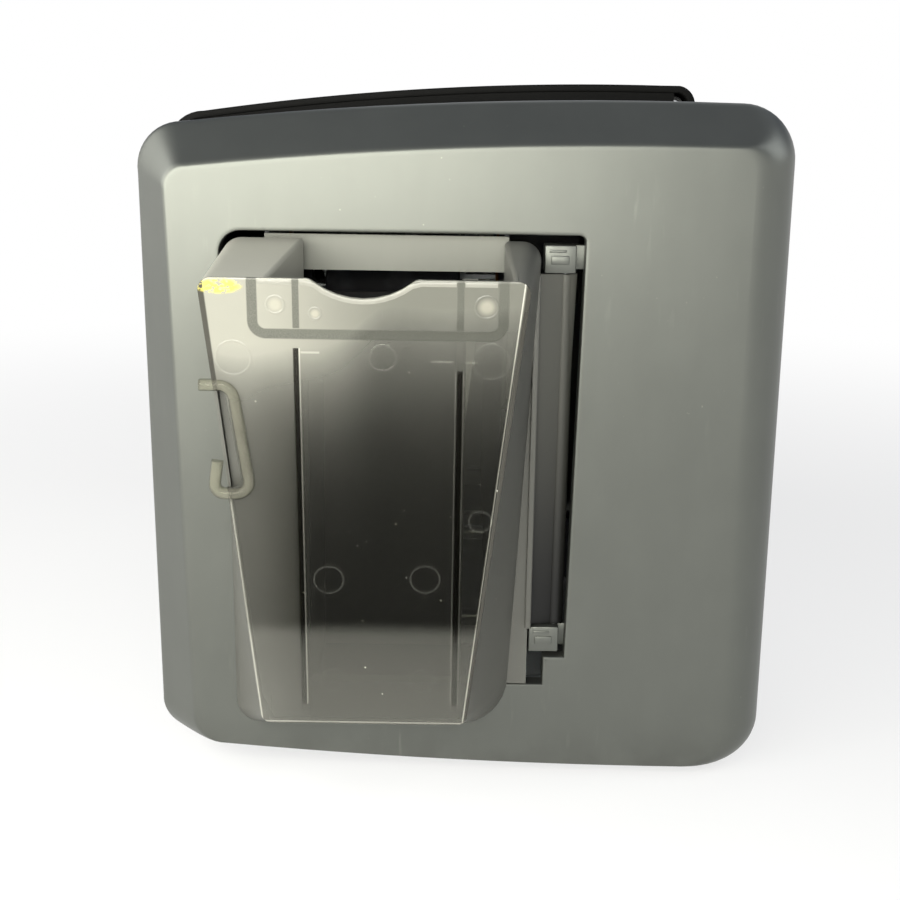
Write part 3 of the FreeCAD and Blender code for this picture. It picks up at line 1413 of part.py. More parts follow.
def spool(name, x):
    """A ribbon spool: core and two flanges on the shaft that turns in the bushes."""
    z = at.spool_height
    flange_spans = ((roll_span[0] - at.spool_flange, roll_span[0]), (roll_span[1], roll_span[1] + at.spool_flange))
    flanges = [rod(f"{name}_flange_{number}", "y", at.spool_flange_radius, span, x, z)
               for number, span in enumerate(flange_spans)]
    keep(name, fuse(name + "_solid", rod(name + "_shaft", "y", at.shaft_radius, shaft_span, x, z),
                    rod(name + "_core", "y", at.spool_core_radius, roll_span, x, z), *flanges))


def ribbon_roll(name, x):
    """The wound ribbon on a spool."""
    inner = (roll_span[0] + at.seam, roll_span[1] - at.seam)
    keep(name, tube(name + "_wound", "y", at.ribbon_roll_radius, at.spool_core_radius, inner, x,
                    at.spool_height))


for side, words in ((-1, "supply"), (1, "take_up")):
    spool(words + "_spool", at.spool_pitch * side)
    ribbon_roll(words + "_ribbon", at.spool_pitch * side)
film_low = at.path_height + at.card_gap
film_high = at.spool_height - at.ribbon_roll_radius - at.card_gap
keep("ribbon_film", prism("film", "y", (card_low, card_high), [
    (-at.spool_pitch, film_high),
    (-at.film_half_span, film_low),
    (at.film_half_span, film_low),
    (at.spool_pitch, film_high),
    (at.spool_pitch, film_high + at.film_thickness),
    (at.film_half_span, film_low + at.film_thickness),
    (-at.film_half_span, film_low + at.film_thickness),
    (-at.spool_pitch, film_high + at.film_thickness),
]))
keep("ribbon_guide_bars", group("guide_bars", *[
    rod(f"guide_bar_{number}", "y", at.guide_bar_radius, (plate_in_front, plate_in_rear),
        at.film_half_span * side, bar_height) for number, side in enumerate((-1, 1))]))


# Print head on its pivoting bracket

head_span = (card_low, card_high)
ear_offset = at.spool_flange + at.head_plate * 2
ear_spans = ((head_span[0] - ear_offset - at.head_plate, head_span[0] - ear_offset),
             (head_span[1] + ear_offset, head_span[1] + ear_offset + at.head_plate))
ear_radius = at.shaft_radius * 2


def head_bracket():
    """The steel bracket over the head: a top plate and two ears on the pivot shaft."""
    top = box("bracket_top", (-at.head_half_width, at.head_pivot_place),
              (ear_spans[0][0], ear_spans[1][1]), (at.head_plate_top - at.head_plate, at.head_plate_top))
    ears, bores = [], []
    for number, span in enumerate(ear_spans):
        ears.append(box(f"bracket_web_{number}", (at.head_pivot_place - ear_radius,
                    at.head_pivot_place + ear_radius), span, (at.head_pivot_height, at.head_plate_top)))
        ears.append(rod(f"bracket_ear_{number}", "y", ear_radius, span, at.head_pivot_place,
                        at.head_pivot_height))
        bores.append(rod(f"bracket_bore_{number}", "y", at.shaft_radius + at.running_gap,
                         (span[0] - at.overrun, span[1] + at.overrun), at.head_pivot_place,
                         at.head_pivot_height))
    return cut("bracket_finished", fuse("bracket_whole", top, *ears), *bores)


def heat_sink():
    """The head's aluminium block with fins cut in from above."""
    block = box("sink_block", (-at.head_half_width, at.head_half_width), head_span,
                (at.sink_bottom, at.head_plate_top - at.head_plate))
    grooves = []
    for step in range(-2, 3):
        middle = at.card_middle + at.card_width * step / 5
        grooves.append(box(f"sink_groove_{step + 2}", (-at.head_half_width - at.overrun,
                       at.head_half_width + at.overrun), around(middle, at.fin_gap),
                       (at.head_plate_top - at.head_plate - at.fin_depth,
                        at.head_plate_top - at.head_plate - at.fin_gap)))
    return cut("sink_finished", block, *grooves)


keep("head_pivot_shaft", rod("pivot_shaft", "y", at.shaft_radius, (plate_in_front, plate_in_rear),
                             at.head_pivot_place, at.head_pivot_height))
keep("head_bracket", head_bracket())
keep("head_heat_sink", heat_sink())
keep("print_head", box("head_strip", around(at.head_pivot_place * 0, at.head_strip_width), head_span,
                       (at.head_bottom, at.sink_bottom)))


# Trays, exit plate, card guides and lift plate

tray_outer_end = half_length - at.cover_wall


def tray():
    """The output tray: floor, two side walls, an inner end wall, and wings out to the plates."""
    wall = at.tray_wall
    left, right = rib_left, rib_right
    side_rise = (at.tray_floor, at.tray_top)
    parts = [
        box("tray_floor_plate", (at.tray_inner_end, tray_outer_end), (left - wall, right + wall),
            (at.tray_floor, at.tray_floor + wall)),
        box("tray_wings", (at.tray_inner_end, at.frame_half_length), (plate_in_front, plate_in_rear),
            (at.tray_floor, at.tray_floor + wall)),
        box("tray_left_wall", (at.tray_inner_end, tray_outer_end), (left - wall, left), side_rise),
        box("tray_right_wall", (at.tray_inner_end, tray_outer_end), (right, right + wall), side_rise),
        box("tray_end_wall", (at.tray_inner_end, at.tray_inner_end + wall), (left - wall, right + wall),
            side_rise),
    ]
    return fuse("tray_finished", *parts)


output_tray = tray()
keep("card_trays", group("trays", output_tray, mirrored("input_tray", output_tray)))


def lift_plate():
    """The plate that lifts the cards, with a skirt down each side that runs in the tray."""
    ends = (-tray_outer_end + at.overrun, -at.tray_inner_end - at.tray_wall - at.moving_gap)
    low, high = rib_left + at.moving_gap, rib_right - at.moving_gap
    top = at.lift_height + at.lift_thickness
    return fuse("lift_finished",
                box("lift_sheet", ends, (low, high), (at.lift_height, top)),
                box("lift_front_skirt", ends, (low, low + at.lift_thickness), (top - at.lift_skirt, top)),
                box("lift_rear_skirt", ends, (high - at.lift_thickness, high), (top - at.lift_skirt, top)))


keep("card_lift_plate", lift_plate())
exit_plate_x = (at.frame_half_length, at.frame_half_length + at.exit_plate_thickness)
exit_plate = box("exit_plate", exit_plate_x, (at.frame_front, plate_out_rear),
                 (at.exit_plate_bottom, at.exit_plate_top))
keep("card_slot_plates", group("slot_plates", exit_plate, mirrored("entry_plate", exit_plate)))


def guide_plates():
    """The two card guides beside the platen: a floor on the rear plate with a lip at each edge."""
    guides = []
    for number, side in enumerate((-1, 1)):
        ends = sorted((at.guide_plate_inner * side, at.guide_plate_outer * side), key=number_of)
        floor = (at.guide_plate_height, at.guide_plate_height + at.tray_wall)
        lip = (at.guide_plate_height, floor[1] + at.guide_lip)
        guides.append(fuse(f"guide_{number}",
                           box(f"guide_floor_{number}", ends, (rib_left - at.tray_wall, plate_in_rear), floor),
                           box(f"guide_front_lip_{number}", ends, (rib_left - at.tray_wall, rib_left), lip),
                           box(f"guide_rear_lip_{number}", ends, (rib_right, rib_right + at.tray_wall), lip)))
    return guides


keep("card_guide_plates", group("guides", *guide_plates()))


# Control board and power supply

def control_board():
    """The control board on its four posts, with its larger parts."""
    sheet_rise = (at.board_height, at.board_height + at.board_thickness)
    parts = [box("board_sheet", (at.board_left, at.board_right), (at.board_front, at.board_rear), sheet_rise)]
    inset = at.board_post_radius * 2
    for number, (x, y) in enumerate(((at.board_left + inset, at.board_front + inset),
                                     (at.board_right - inset, at.board_front + inset),
                                     (at.board_left + inset, at.board_rear - inset),
                                     (at.board_right - inset, at.board_rear - inset))):
        parts.append(rod(f"board_post_{number}", "z", at.board_post_radius, (pan_top, at.board_height), x, y))
    length, depth = at.board_right - at.board_left, at.board_rear - at.board_front
    for number, (x_share, y_share, width_share, depth_share, rise_share) in enumerate(BOARD_PART_SHARES):
        corner_x, corner_y = at.board_left + length * x_share, at.board_front + depth * y_share
        parts.append(box(f"board_part_{number}", (corner_x, corner_x + length * width_share),
                         (corner_y, corner_y + depth * depth_share),
                         (sheet_rise[1], sheet_rise[1] + at.board_height * rise_share)))
    return fuse("control_board_finished", *parts)


# Each large part of the board: its corner, its two sides and its rise, as shares of the board's own
BOARD_PART_SHARES = [
    (0.40, 0.35, 0.20, 0.24, 0.10),
    (0.70, 0.20, 0.12, 0.15, 0.08),
    (0.12, 0.12, 0.10, 0.30, 0.30),
    (0.15, 0.62, 0.08, 0.10, 0.45),
    (0.28, 0.62, 0.08, 0.10, 0.45),
    (0.68, 0.60, 0.22, 0.08, 0.25),
]
keep("control_board", control_board())
keep("power_supply", box("supply_case", (at.supply_left, at.supply_right), (at.supply_front, at.supply_rear),
                         (pan_top, at.supply_top)))


# Check every object, then write one file for each piece

doc.recompute()
for thing in doc.Objects:
    if "Invalid" in thing.State or "Error" in thing.State:
        raise RuntimeError(f"{thing.Name} could not be made: {thing.State}")
for piece in pieces:
    if piece.Shape.isNull() or not piece.Shape.isValid() or not piece.Shape.Solids:
        raise RuntimeError(f"{piece.Label} has no valid solid")
os.makedirs("parts", exist_ok=True)
for piece in pieces:
    piece.Shape.exportStep(f"parts/{piece.Label}.step")
print(f"{len(pieces)} pieces written")
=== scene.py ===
"""Looks of the id card printer: satin end covers, two smoked card hoppers, black lid and works.

Shapes are worked out in millimetres in the row frame, +X the output end, -Y the front and +Z up,
and put() turns them into metres.
"""
import math
from functools import partial, partialmethod

import bmesh
import bpy
import numpy as np
from mathutils import Matrix, Vector
from mathutils.geometry import tessellate_polygon


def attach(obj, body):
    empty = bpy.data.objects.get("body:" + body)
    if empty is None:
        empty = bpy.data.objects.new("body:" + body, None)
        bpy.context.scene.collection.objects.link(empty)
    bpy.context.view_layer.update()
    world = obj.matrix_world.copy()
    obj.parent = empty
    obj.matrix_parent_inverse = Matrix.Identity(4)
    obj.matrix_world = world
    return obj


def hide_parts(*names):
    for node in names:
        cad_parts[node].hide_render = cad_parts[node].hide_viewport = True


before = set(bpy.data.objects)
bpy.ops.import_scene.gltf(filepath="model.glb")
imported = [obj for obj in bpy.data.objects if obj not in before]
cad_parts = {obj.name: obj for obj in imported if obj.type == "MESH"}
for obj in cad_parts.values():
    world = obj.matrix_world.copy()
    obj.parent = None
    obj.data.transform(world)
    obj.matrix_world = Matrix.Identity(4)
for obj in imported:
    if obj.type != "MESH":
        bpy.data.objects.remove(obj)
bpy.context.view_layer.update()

# A millimetre in metres
MM = 0.001

# Sizes that several pieces share, in millimetres
HALF_LENGTH = 172.5
HALF_DEPTH = 122.5
COVER_START = 112.5
WALL = 2.5
BEVEL = 17.0
BRACKET_BACK = 161.6
HINGE = (165.5, 38.0)

# The window: how its plane leans, where that plane meets the floor, how thick the plate is, its
# tapered outline, and the ribs on its back
LEAN = 20 / 150
LEAN_STRETCH = math.hypot(1, LEAN)
WINDOW_FOOT = 195.287
PLATE = 2.4
WINDOW_TOP = 204.1
WINDOW_BOTTOM = 33.5
WINDOW_LEFT = -89.6
WINDOW_LEFT_FOOT = -73.6
WINDOW_RIGHT = 22.5
WINDOW_RIGHT_FOOT = 4.0
RIB_PLACES = (-57.9, -2.3)
RIB_WIDTH = 2.3


# Outlines and surfaces

def arc_outline(corners, bends, steps=10):
    """Points along an anticlockwise outline, as many on each segment from corner to corner.

    Where bends gives a segment a radius it is the minor arc of that radius, bulging outwards, or
    inwards if the radius is negative: its centre lies on the chord's perpendicular at
    sqrt(r^2 - (c/2)^2), and its points divide the angle evenly.
    """
    corners = np.asarray(corners, float)
    share = np.arange(steps) / steps
    runs = []
    for index, start in enumerate(corners):
        end = corners[(index + 1) % len(corners)]
        line = start + (end - start) * share[:, None]
        radius = bends.get(index)
        if radius:
            chord = end - start
            length = np.hypot(*chord)
            inward = np.array([-chord[1], chord[0]]) / length * np.sign(radius)
            rise = math.sqrt(max(radius * radius - length * length / 4, 0))
            centre = (start + end) / 2 + inward * rise
            first = math.atan2(*(start - centre)[::-1])
            half = math.asin(min(length / 2 / abs(radius), 1))
            angle = first + 2 * half * share * np.sign(radius)
            line = centre + abs(radius) * np.stack([np.cos(angle), np.sin(angle)], 1)
        runs.append(line)
    return np.concatenate(runs)


def round_rectangle(left, low, right, high, bend, steps):
    """A rectangle's outline whose corners are quarter circles."""
    corners = [(left + bend, low), (right - bend, low), (right, low + bend), (right, high - bend),
               (right - bend, high), (left + bend, high), (left, high - bend), (left, low + bend)]
    return arc_outline(corners, {1: bend, 3: bend, 5: bend, 7: bend}, steps)


def grown(outline, by):
    """An outline moved outwards by a distance: each point goes along the mean of its two edge normals,
    stretched so that the edges themselves move by that distance."""
    before = outline - np.roll(outline, 1, 0)
    after = np.roll(outline, -1, 0) - outline
    normals = []
    for edge in (before, after):
        length = np.maximum(np.hypot(edge[:, 0], edge[:, 1]), 1e-9)
        normals.append(np.stack([edge[:, 1], -edge[:, 0]], 1) / length[:, None])
    mean = normals[0] + normals[1]
    size = np.maximum((mean * mean).sum(1), 0.6)
    return outline + mean * (2 * by / size)[:, None]


def at_place(axis, outline, place):
    """An outline in two directions set at a place along the third, which is given as 0 to 2 for X to Z.
    The place may differ from point to point."""
    return np.insert(np.asarray(outline, float), axis, place, 1)


at_x, at_y, at_z = (partial(at_place, axis) for axis in range(3))


def leaning(outline, lift):
    """An outline in Y and distance up the leaning window plane, set at a lift off its outer face."""
    height = outline[:, 1] / LEAN_STRETCH
    return np.stack([WINDOW_FOOT + height * LEAN + lift * LEAN_STRETCH, outline[:, 0], height], 1)


def left_edge(z):
    """Where the window's left edge is at a height: it leans in on a straight line towards its foot."""
    share = (WINDOW_TOP - z) / (WINDOW_TOP - WINDOW_BOTTOM)
    return WINDOW_LEFT + (WINDOW_LEFT_FOOT - WINDOW_LEFT) * share


class Shell:
    """Points and faces of one piece, gathered ring by ring."""

    def __init__(self):
        self.points = []
        self.faces = []
        self.count = 0

    def grid(self, rings, closed=True):
        """Faces between each ring of points and the next, round each ring if closed. Returns where
        each ring starts."""
        rings = np.asarray(rings, float)
        rows, columns = rings.shape[:2]
        start = self.count
        self.points.append(rings.reshape(-1, 3))
        self.count += rows * columns
        index = start + np.arange(rows * columns).reshape(rows, columns)
        if closed:
            index = np.concatenate([index, index[:, :1]], 1)
        quads = np.stack([index[:-1, :-1], index[:-1, 1:], index[1:, 1:], index[1:, :-1]], -1)
        self.faces += quads.reshape(-1, 4).tolist()
        return [start + row * columns for row in range(rows)]

    def sheet(self, outer, *holes):
        """A flat sheet between rings that were put in before, each given as its start and count."""
        loops = [np.arange(start, start + count) for start, count in (outer, *holes)]
        everything = np.concatenate(self.points)
        pieces = tessellate_polygon([[tuple(everything[i]) for i in loop] for loop in loops])
        order = np.concatenate(loops)
        self.faces += [[int(order[i]) for i in piece] for piece in pieces]

    def bar(self, rings):
        """A closed bar through rings of points, with a face over each end."""
        starts = self.grid(rings)
        for start in (starts[0], starts[-1]):
            self.faces.append(list(range(start, start + len(rings[0]))))

    def round_bar(self, outline, setting, low, high, ease, count):
        """A bar of one outline between two places, drawn in at both ends by a quarter circle."""
        angles = np.radians(np.linspace(0, 90, count))
        ends = [(ease * (1 - math.sin(a)), ease * (1 - math.cos(a))) for a in angles]
        rings = [setting(grown(outline, -inset), low + rise) for inset, rise in ends]
        rings += [setting(grown(outline, -inset), high - rise) for inset, rise in ends[::-1]]
        self.bar(rings)

    def block(self, low, high, ease):
        """A box between two corners whose edges are rounded."""
        ease = min(ease, *((np.asarray(high) - low) / 2.2))
        outline = round_rectangle(*low[:2], *high[:2], ease, 3)
        self.round_bar(outline, at_z, low[2], high[2], ease, 3)

    def turned(self, profile, centre, along, steps):
        """A profile of (radius, place) points carried round an axis through a centre: each ring is a
        circle of that radius at that place."""
        angle = np.arange(steps) / steps * math.tau
        circle = np.stack([np.cos(angle), np.sin(angle)], 1)
        setting = {"x": at_x, "y": at_y, "z": at_z}[along]
        self.bar([setting(circle * max(radius, 1e-4) + centre, place) for radius, place in profile])

    def roll(self, core, radius, low, high, ease, centre, along, steps):
        """A ring or rod between two places, turned from a core radius out to a radius, with chamfers
        that take an ease in radius and one along the axis."""
        inset, rise = ease
        self.turned([(core, low), (radius - inset, low), (radius, low + rise), (radius, high - rise),
                     (radius - inset, high), (core, high)], centre, along, steps)


def merged(mesh, reach, whole):
    """Merge a mesh's points within a reach, then make its flat faces whole or turn all outwards."""
    work = bmesh.new()
    work.from_mesh(mesh)
    bmesh.ops.remove_doubles(work, verts=work.verts, dist=reach)
    if whole:
        bmesh.ops.dissolve_limit(work, angle_limit=math.radians(1), verts=work.verts, edges=work.edges)
    else:
        bmesh.ops.recalc_face_normals(work, faces=work.faces)
    work.to_mesh(mesh)
    work.free()


def put(name, shell, body, finish, replaces=(), mirror=False, smooth=30.0):
    """Make a piece from a shell, mirrored to the input end if asked, that is smooth but for edges
    sharper than an angle."""
    points = np.concatenate(shell.points) * MM
    if mirror:
        points = points * [-1, 1, 1]
    mesh = bpy.data.meshes.new(name)
    mesh.from_pydata(points.tolist(), [], shell.faces)
    merged(mesh, 2e-6, False)
    dress(name, mesh, body, finish, replaces, smooth)


def in_scene(name, data):
    """An object with its data, linked to the scene."""
    thing = bpy.data.objects.new(name, data)
    bpy.context.scene.collection.objects.link(thing)
    return thing


def dress(name, mesh, body, finish, replaces, smooth, bevel=None):
    """Turn a mesh into a shown piece that rides on a body, wears a finish and stands for CAD nodes."""
    mesh.polygons.foreach_set("use_smooth", np.ones(len(mesh.polygons), bool))
    mesh.set_sharp_from_angle(angle=math.radians(smooth))
    mesh.materials.clear()
    mesh.materials.append(finish)
    thing = in_scene(name, mesh)
    if bevel:
        rounding = thing.modifiers.new("edge rounding", "BEVEL")
        rounding.width = bevel * MM
        rounding.segments = 2
        rounding.limit_method = "ANGLE"
        rounding.angle_limit = math.radians(smooth)
        rounding.harden_normals = True
    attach(thing, body)
    if replaces:
        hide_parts(*replaces)


def softened(node, body, finish, width):
    """A copy of a CAD node's mesh with its edges rounded."""
    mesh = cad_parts[node].data.copy()
    mesh.name = f"{node}_rounded"
    merged(mesh, 1e-6, True)
    dress(mesh.name, mesh, body, finish, (node,), 32.0, width)


# Finishes

def tone(red, green, blue):
    """A colour given as it looks on a screen, 0 to 255, as the light values that shaders take."""
    levels = np.array([red, green, blue]) / 255
    linear = np.where(levels > 0.04045, ((levels + 0.055) / 1.055) ** 2.4, levels / 12.92)
    return (*linear, 1.0)


class Value:
    """A number that varies over a surface. Expressions on it add Math nodes to its finish."""

    def __init__(self, finish, socket):
        self.finish = finish
        self.socket = socket

    def math(self, operation, *others, swapped=False):
        """A Math node's result from this value and others, or from the others and it if swapped."""
        operands = [*others, self] if swapped else [self, *others]
        made = self.finish.node("ShaderNodeMath", {"operation": operation}, dict(enumerate(operands)))
        return Value(self.finish, made.outputs[0])

    __add__ = __radd__ = partialmethod(math, "ADD")
    __sub__ = partialmethod(math, "SUBTRACT")
    __rsub__ = partialmethod(math, "SUBTRACT", swapped=True)
    __mul__ = __rmul__ = partialmethod(math, "MULTIPLY")
    __truediv__ = partialmethod(math, "DIVIDE")
    __pow__ = partialmethod(math, "POWER")
    __abs__ = partialmethod(math, "ABSOLUTE")
    least = partialmethod(math, "MINIMUM")
    most = partialmethod(math, "MAXIMUM")
    sine = partialmethod(math, "SINE")
    steps = partialmethod(math, "FLOOR")
    growth = partialmethod(math, "EXPONENT")

    def fade(self, start, end):
        """Nothing at start, all at end, and a smooth turn between them. Start may be above end."""
        settings = {"interpolation_type": "SMOOTHSTEP"}
        sign = 1 if end > start else -1
        sockets = {"Value": self * sign, "From Min": start * sign, "From Max": end * sign}
        return Value(self.finish, self.finish.node("ShaderNodeMapRange", settings, sockets).outputs[0])


class Tree:
    """A node tree of a material or of the world, while it is made."""

    def __init__(self, owner):
        owner.use_nodes = True
        self.tree = owner.node_tree

    def node(self, kind, settings=None, sockets=None):
        """A node of a type, with its settings set first and then its sockets' values or links."""
        made = self.tree.nodes.new(kind)
        for name, setting in (settings or {}).items():
            setattr(made, name, setting)
        for name, content in (sockets or {}).items():
            self.feed(made.inputs[name], content)
        return made

    def feed(self, socket, content):
        """Link a socket to what varies, or set its value."""
        if isinstance(content, Value):
            content = content.socket
        if isinstance(content, bpy.types.NodeSocket):
            self.tree.links.new(content, socket)
        else:
            socket.default_value = content


class Finish(Tree):
    """A node material while it is made, with places on the surface in millimetres."""

    def __init__(self, name, specular=0.5, **constants):
        self.material = bpy.data.materials.new(name)
        super().__init__(self.material)
        self.shader = self.tree.nodes["Principled BSDF"]
        self.paint = None
        self.object_place = self.node("ShaderNodeTexCoord").outputs["Object"]
        split = self.node("ShaderNodeSeparateXYZ", {}, {"Vector": self.object_place})
        self.x, self.y, self.z = [Value(self, socket) * 1000 for socket in split.outputs]
        self.wear(**{"Specular IOR Level": specular})
        self.wear(**{key.replace("_", " ").title(): value for key, value in constants.items()})

    def wear(self, **sockets):
        """Set the shader's own sockets, or link what varies to them."""
        for name, content in sockets.items():
            self.feed(self.shader.inputs[name], content)

    def coat(self, paint, rough=None, height=None, depth=0.0, strength=0.0):
        """Give the shader a colour, and a roughness if there is one. The surface's normal bends as a
        height pattern does, if there is one, of a depth in millimetres."""
        self.paint = paint
        self.wear(**{"Base Color": paint})
        if rough is not None:
            self.wear(Roughness=rough)
        if height is not None:
            sockets = {"Height": height, "Distance": depth * MM, "Strength": strength}
            self.wear(Normal=self.node("ShaderNodeBump", {}, sockets).outputs[0])

    def show(self, share, first, second):
        """Show one shader passing into another by a share."""
        mixed = self.node("ShaderNodeMixShader", {}, {0: share, 1: first.outputs[0], 2: second.outputs[0]})
        self.feed(self.tree.nodes["Material Output"].inputs["Surface"], mixed.outputs[0])

    def noise(self, size, detail, stretch=(1, 1, 1), roughness=0.5):
        """A cloudy pattern from 0 to 1 with patches of a size in millimetres, longer where stretched."""
        scale = [1000 / size / share for share in stretch]
        mapped = self.node("ShaderNodeMapping", {}, {"Vector": self.object_place, "Scale": scale})
        sockets = {"Vector": mapped.outputs[0], "Scale": 1.0, "Detail": detail, "Roughness": roughness}
        return Value(self, self.node("ShaderNodeTexNoise", {}, sockets).outputs[0])

    def blend(self, first, second, share):
        """One colour passing into another."""
        made = self.node("ShaderNodeMix", {"data_type": "RGBA"}, {0: share, 6: first, 7: second})
        return made.outputs[2]

    def patch(self, left, right, low, high):
        """A rectangle drawn on an end of the machine, between two places along Y and two heights."""
        soft = 0.3
        across = abs(self.y - (left + right) / 2).fade((right - left + soft) / 2, (right - left - soft) / 2)
        up = abs(self.z - (low + high) / 2).fade((high - low + soft) / 2, (high - low - soft) / 2)
        return across * up

    def ring(self, y, z, radius, width):
        """A thin circle drawn on an end of the machine: all on the line, nothing off it."""
        away = ((self.y - y) ** 2 + (self.z - z) ** 2) ** 0.5
        return abs(away - radius).fade(width, width * 0.3)


def plastic(name, colour, roughness, grain, mottle, metallic=0.0, dust=0.0, specular=0.45):
    """Moulded plastic: a fine spark-eroded grain, faint cloudiness in tone and sheen, and specks."""
    finish = Finish(name, specular, metallic=metallic)
    base = np.array(tone(*colour))
    cloud = finish.noise(38, 4, roughness=0.6)
    flow = finish.noise(9, 2, (1, 1, 4))
    shade = (cloud * 0.7 + flow * 0.3).fade(0.3, 0.7)
    paint = finish.blend(tuple(base * (1 - mottle)), tuple(base * (1 + mottle)), shade)
    fine = finish.noise(grain, 3, roughness=0.7)
    if dust:
        speck = finish.noise(1.6, 1).fade(0.76, 0.82) * finish.noise(24, 2).fade(0.45, 0.75)
        paint = finish.blend(paint, tone(196, 192, 180), speck * dust)
    finish.coat(paint, roughness - 0.05 + fine * 0.06 + cloud * 0.06, fine, 0.03, 0.35)
    return finish


def metal(name, colour, roughness, stretch, scratch, tint=None):
    """Bare or plated metal: rolled or turned lines, and clouds where handling has dulled it."""
    finish = Finish(name, metallic=1.0)
    base = np.array(tone(*colour))
    lines = finish.noise(scratch, 4, stretch, 0.65)
    cloud = finish.noise(22, 3)
    paint = finish.blend(tuple(base * 0.86), tuple(base * 1.04), lines)
    if tint:
        paint = finish.blend(paint, tone(*tint), cloud.fade(0.5, 0.8) * 0.5)
    finish.coat(paint, roughness + lines * 0.12 + cloud * 0.08 - 0.1, lines, 0.02, 0.25)
    return finish


def rubber(name, colour, roughness, grain):
    """Rubber: matt, with a fine ground surface and pale bloom in patches."""
    finish = Finish(name, specular=0.3)
    fine = finish.noise(grain, 3)
    bloom = finish.noise(14, 3).fade(0.45, 0.8)
    paint = finish.blend(tone(*colour), tone(*[level + 26 for level in colour]), bloom)
    finish.coat(paint, roughness + fine * 0.12 - 0.06, fine, 0.06, 0.5)
    return finish


def cover_plastic():
    """The end covers' satin grey, with faint rubbed marks on the flat face and painted shade, in patches,
    over the lowest 26 mm towards the floor.
    """
    finish = plastic("end cover grey", (104, 106, 101), 0.4, 0.32, 0.035, 0.8, 0.35)
    rubbed = finish.noise(3.5, 3, (1, 1, 7)).fade(0.6, 0.85) * finish.noise(55, 2).fade(0.5, 0.75)
    # painted shade: the lowest 26 mm darker towards the floor, in patches
    foot_shade = finish.z.fade(26, 3) * finish.noise(16, 3).fade(0.3, 0.7)
    paint = finish.blend(finish.paint, tone(176, 176, 168), rubbed * 0.22)
    finish.coat(finish.blend(paint, tone(70, 70, 66), foot_shade * 0.3))
    return finish


def pocket_plastic():
    """The pockets' grey, with a painted highlight, paler at the top of the mouth's open side, and painted
    shade along the hinge strip, darker towards its foot."""
    finish = plastic("pocket grey", (98, 98, 93), 0.44, 0.3, 0.04, 0.25, 0.3)
    # painted highlight: paler at the top of the mouth's open side, where the light falls
    mouth_highlight = finish.z.fade(165, 206) * finish.y.fade(-8, -56)
    # painted shade along the hinge strip, darker towards its foot
    strip_shade = finish.y.fade(27.8, 28.7)
    strip = finish.blend(tone(92, 92, 86), tone(20, 20, 19), finish.z.fade(205, 65))
    paint = finish.blend(finish.paint, tone(178, 177, 166), mouth_highlight * 0.8)
    finish.coat(finish.blend(paint, strip, strip_shade))
    return finish


# Marks on the window, as places along Y and heights: the mould's circles with their radii, the ribs'
# painted shadows, the painted highlight beside the left rib, the fainter painted highlights, the frosted
# band's middle, half width and bend, the smear's middle, and how far the sides lean in for each millimetre
# down
MOULD_CIRCLES = [(-78.5, 176.2, 6.0), (-27.3, 177.0, 4.5), (9.8, 176.2, 6.2), (-47.1, 93.3, 5.3),
                 (-12.3, 93.9, 5.3), (7.1, 117.0, 4.0), (-63.6, 195.0, 3.0), (-50.2, 192.1, 2.0),
                 (7.7, 195.1, 3.8), (-46, 52.5, 4.6), (-13, 52.5, 4.6)]
RIB_SHADOWS = [(-58.0, -56.1, 42, 180), (-1.9, 0.0, 42, 172.5)]
RIB_HIGHLIGHT = (-56.0, -55.6, 42, 180)
FAINT_HIGHLIGHTS = [(-2.7, -2.3, 42, 172), (0.1, 0.4, 42, 172), (-55.4, -49.0, 178.2, 178.9),
               (-11.0, -3.6, 175.6, 176.3), (0.9, 5.2, 175.4, 176.1)]
BAND_MIDDLE = -29.05
BAND_HALF = 38.0
BAND_BEND = 189.4
SMEAR = (-82.5, 201.2)
LEFT_SLOPE = 0.0938
RIGHT_SLOPE = 0.1084


def window_band(finish):
    """The frosted band: a U between two distances outside a rectangle that is open at the top, and two
    bars down to it where the ribs are."""
    out = (abs(finish.y - BAND_MIDDLE) - BAND_HALF).most(0)
    away = (out ** 2 + (BAND_BEND - finish.z).most(0) ** 2) ** 0.5
    band = away.fade(2.4, 2.9) * away.fade(6.4, 5.9)
    for left in RIB_PLACES:
        band = band.most(finish.patch(left, left + RIB_WIDTH, 187, 230))
    return band


def window_circles(finish):
    """The knock-out circles of the mould, and the discs inside those beside the notch."""
    circles = discs = finish.y * 0.0
    for y, z, radius in MOULD_CIRCLES:
        circles = circles.most(finish.ring(y, z, radius, 0.5))
        if z > 190:
            discs = discs.most(finish.ring(y, z, 0.0, radius))
    return circles, discs


def window_lines(finish):
    """The ribs' painted shadows, painted highlights as bright lines along the ribs and the edges, and
    painted shade on the edges.
    """
    y, z = finish.y, finish.z
    # painted shadows of the ribs, fainter towards the foot
    ribs = finish.patch(*RIB_SHADOWS[0]).most(finish.patch(*RIB_SHADOWS[1]))
    ribs = ribs * (z.fade(62, 78) * 0.7 + 0.3)
    # painted highlights: bright lines beside the left rib, along the right rib and in short runs near the
    # band
    lines = finish.patch(*RIB_HIGHLIGHT) * 0.4
    for line in FAINT_HIGHLIGHTS:
        lines = lines.most(finish.patch(*line) * 0.22)
    left_way = y - ((WINDOW_TOP - z) * LEFT_SLOPE + WINDOW_LEFT)
    right_way = ((z - WINDOW_TOP) * RIGHT_SLOPE + WINDOW_RIGHT) - y
    # painted shade along the left edge above the slot and along the right edge
    left_edge_shade = left_way.fade(2.0, 1.4) * z.fade(122, 126)
    dark = left_edge_shade.most(right_way.fade(1.5, 1.1)) * z.fade(30, 40)
    # painted highlights along the right edge, the left edge above the slot and the foot
    lines = lines.most(abs(right_way - 1.9).fade(0.36, 0.1) * 0.7)
    lines = lines.most(abs(left_way - 0.7).fade(0.5, 0.2) * z.fade(126, 122) * 0.6)
    lines = lines.most(abs(z - (WINDOW_BOTTOM + 0.9)).fade(0.5, 0.2) * 0.45)
    return ribs, lines, dark


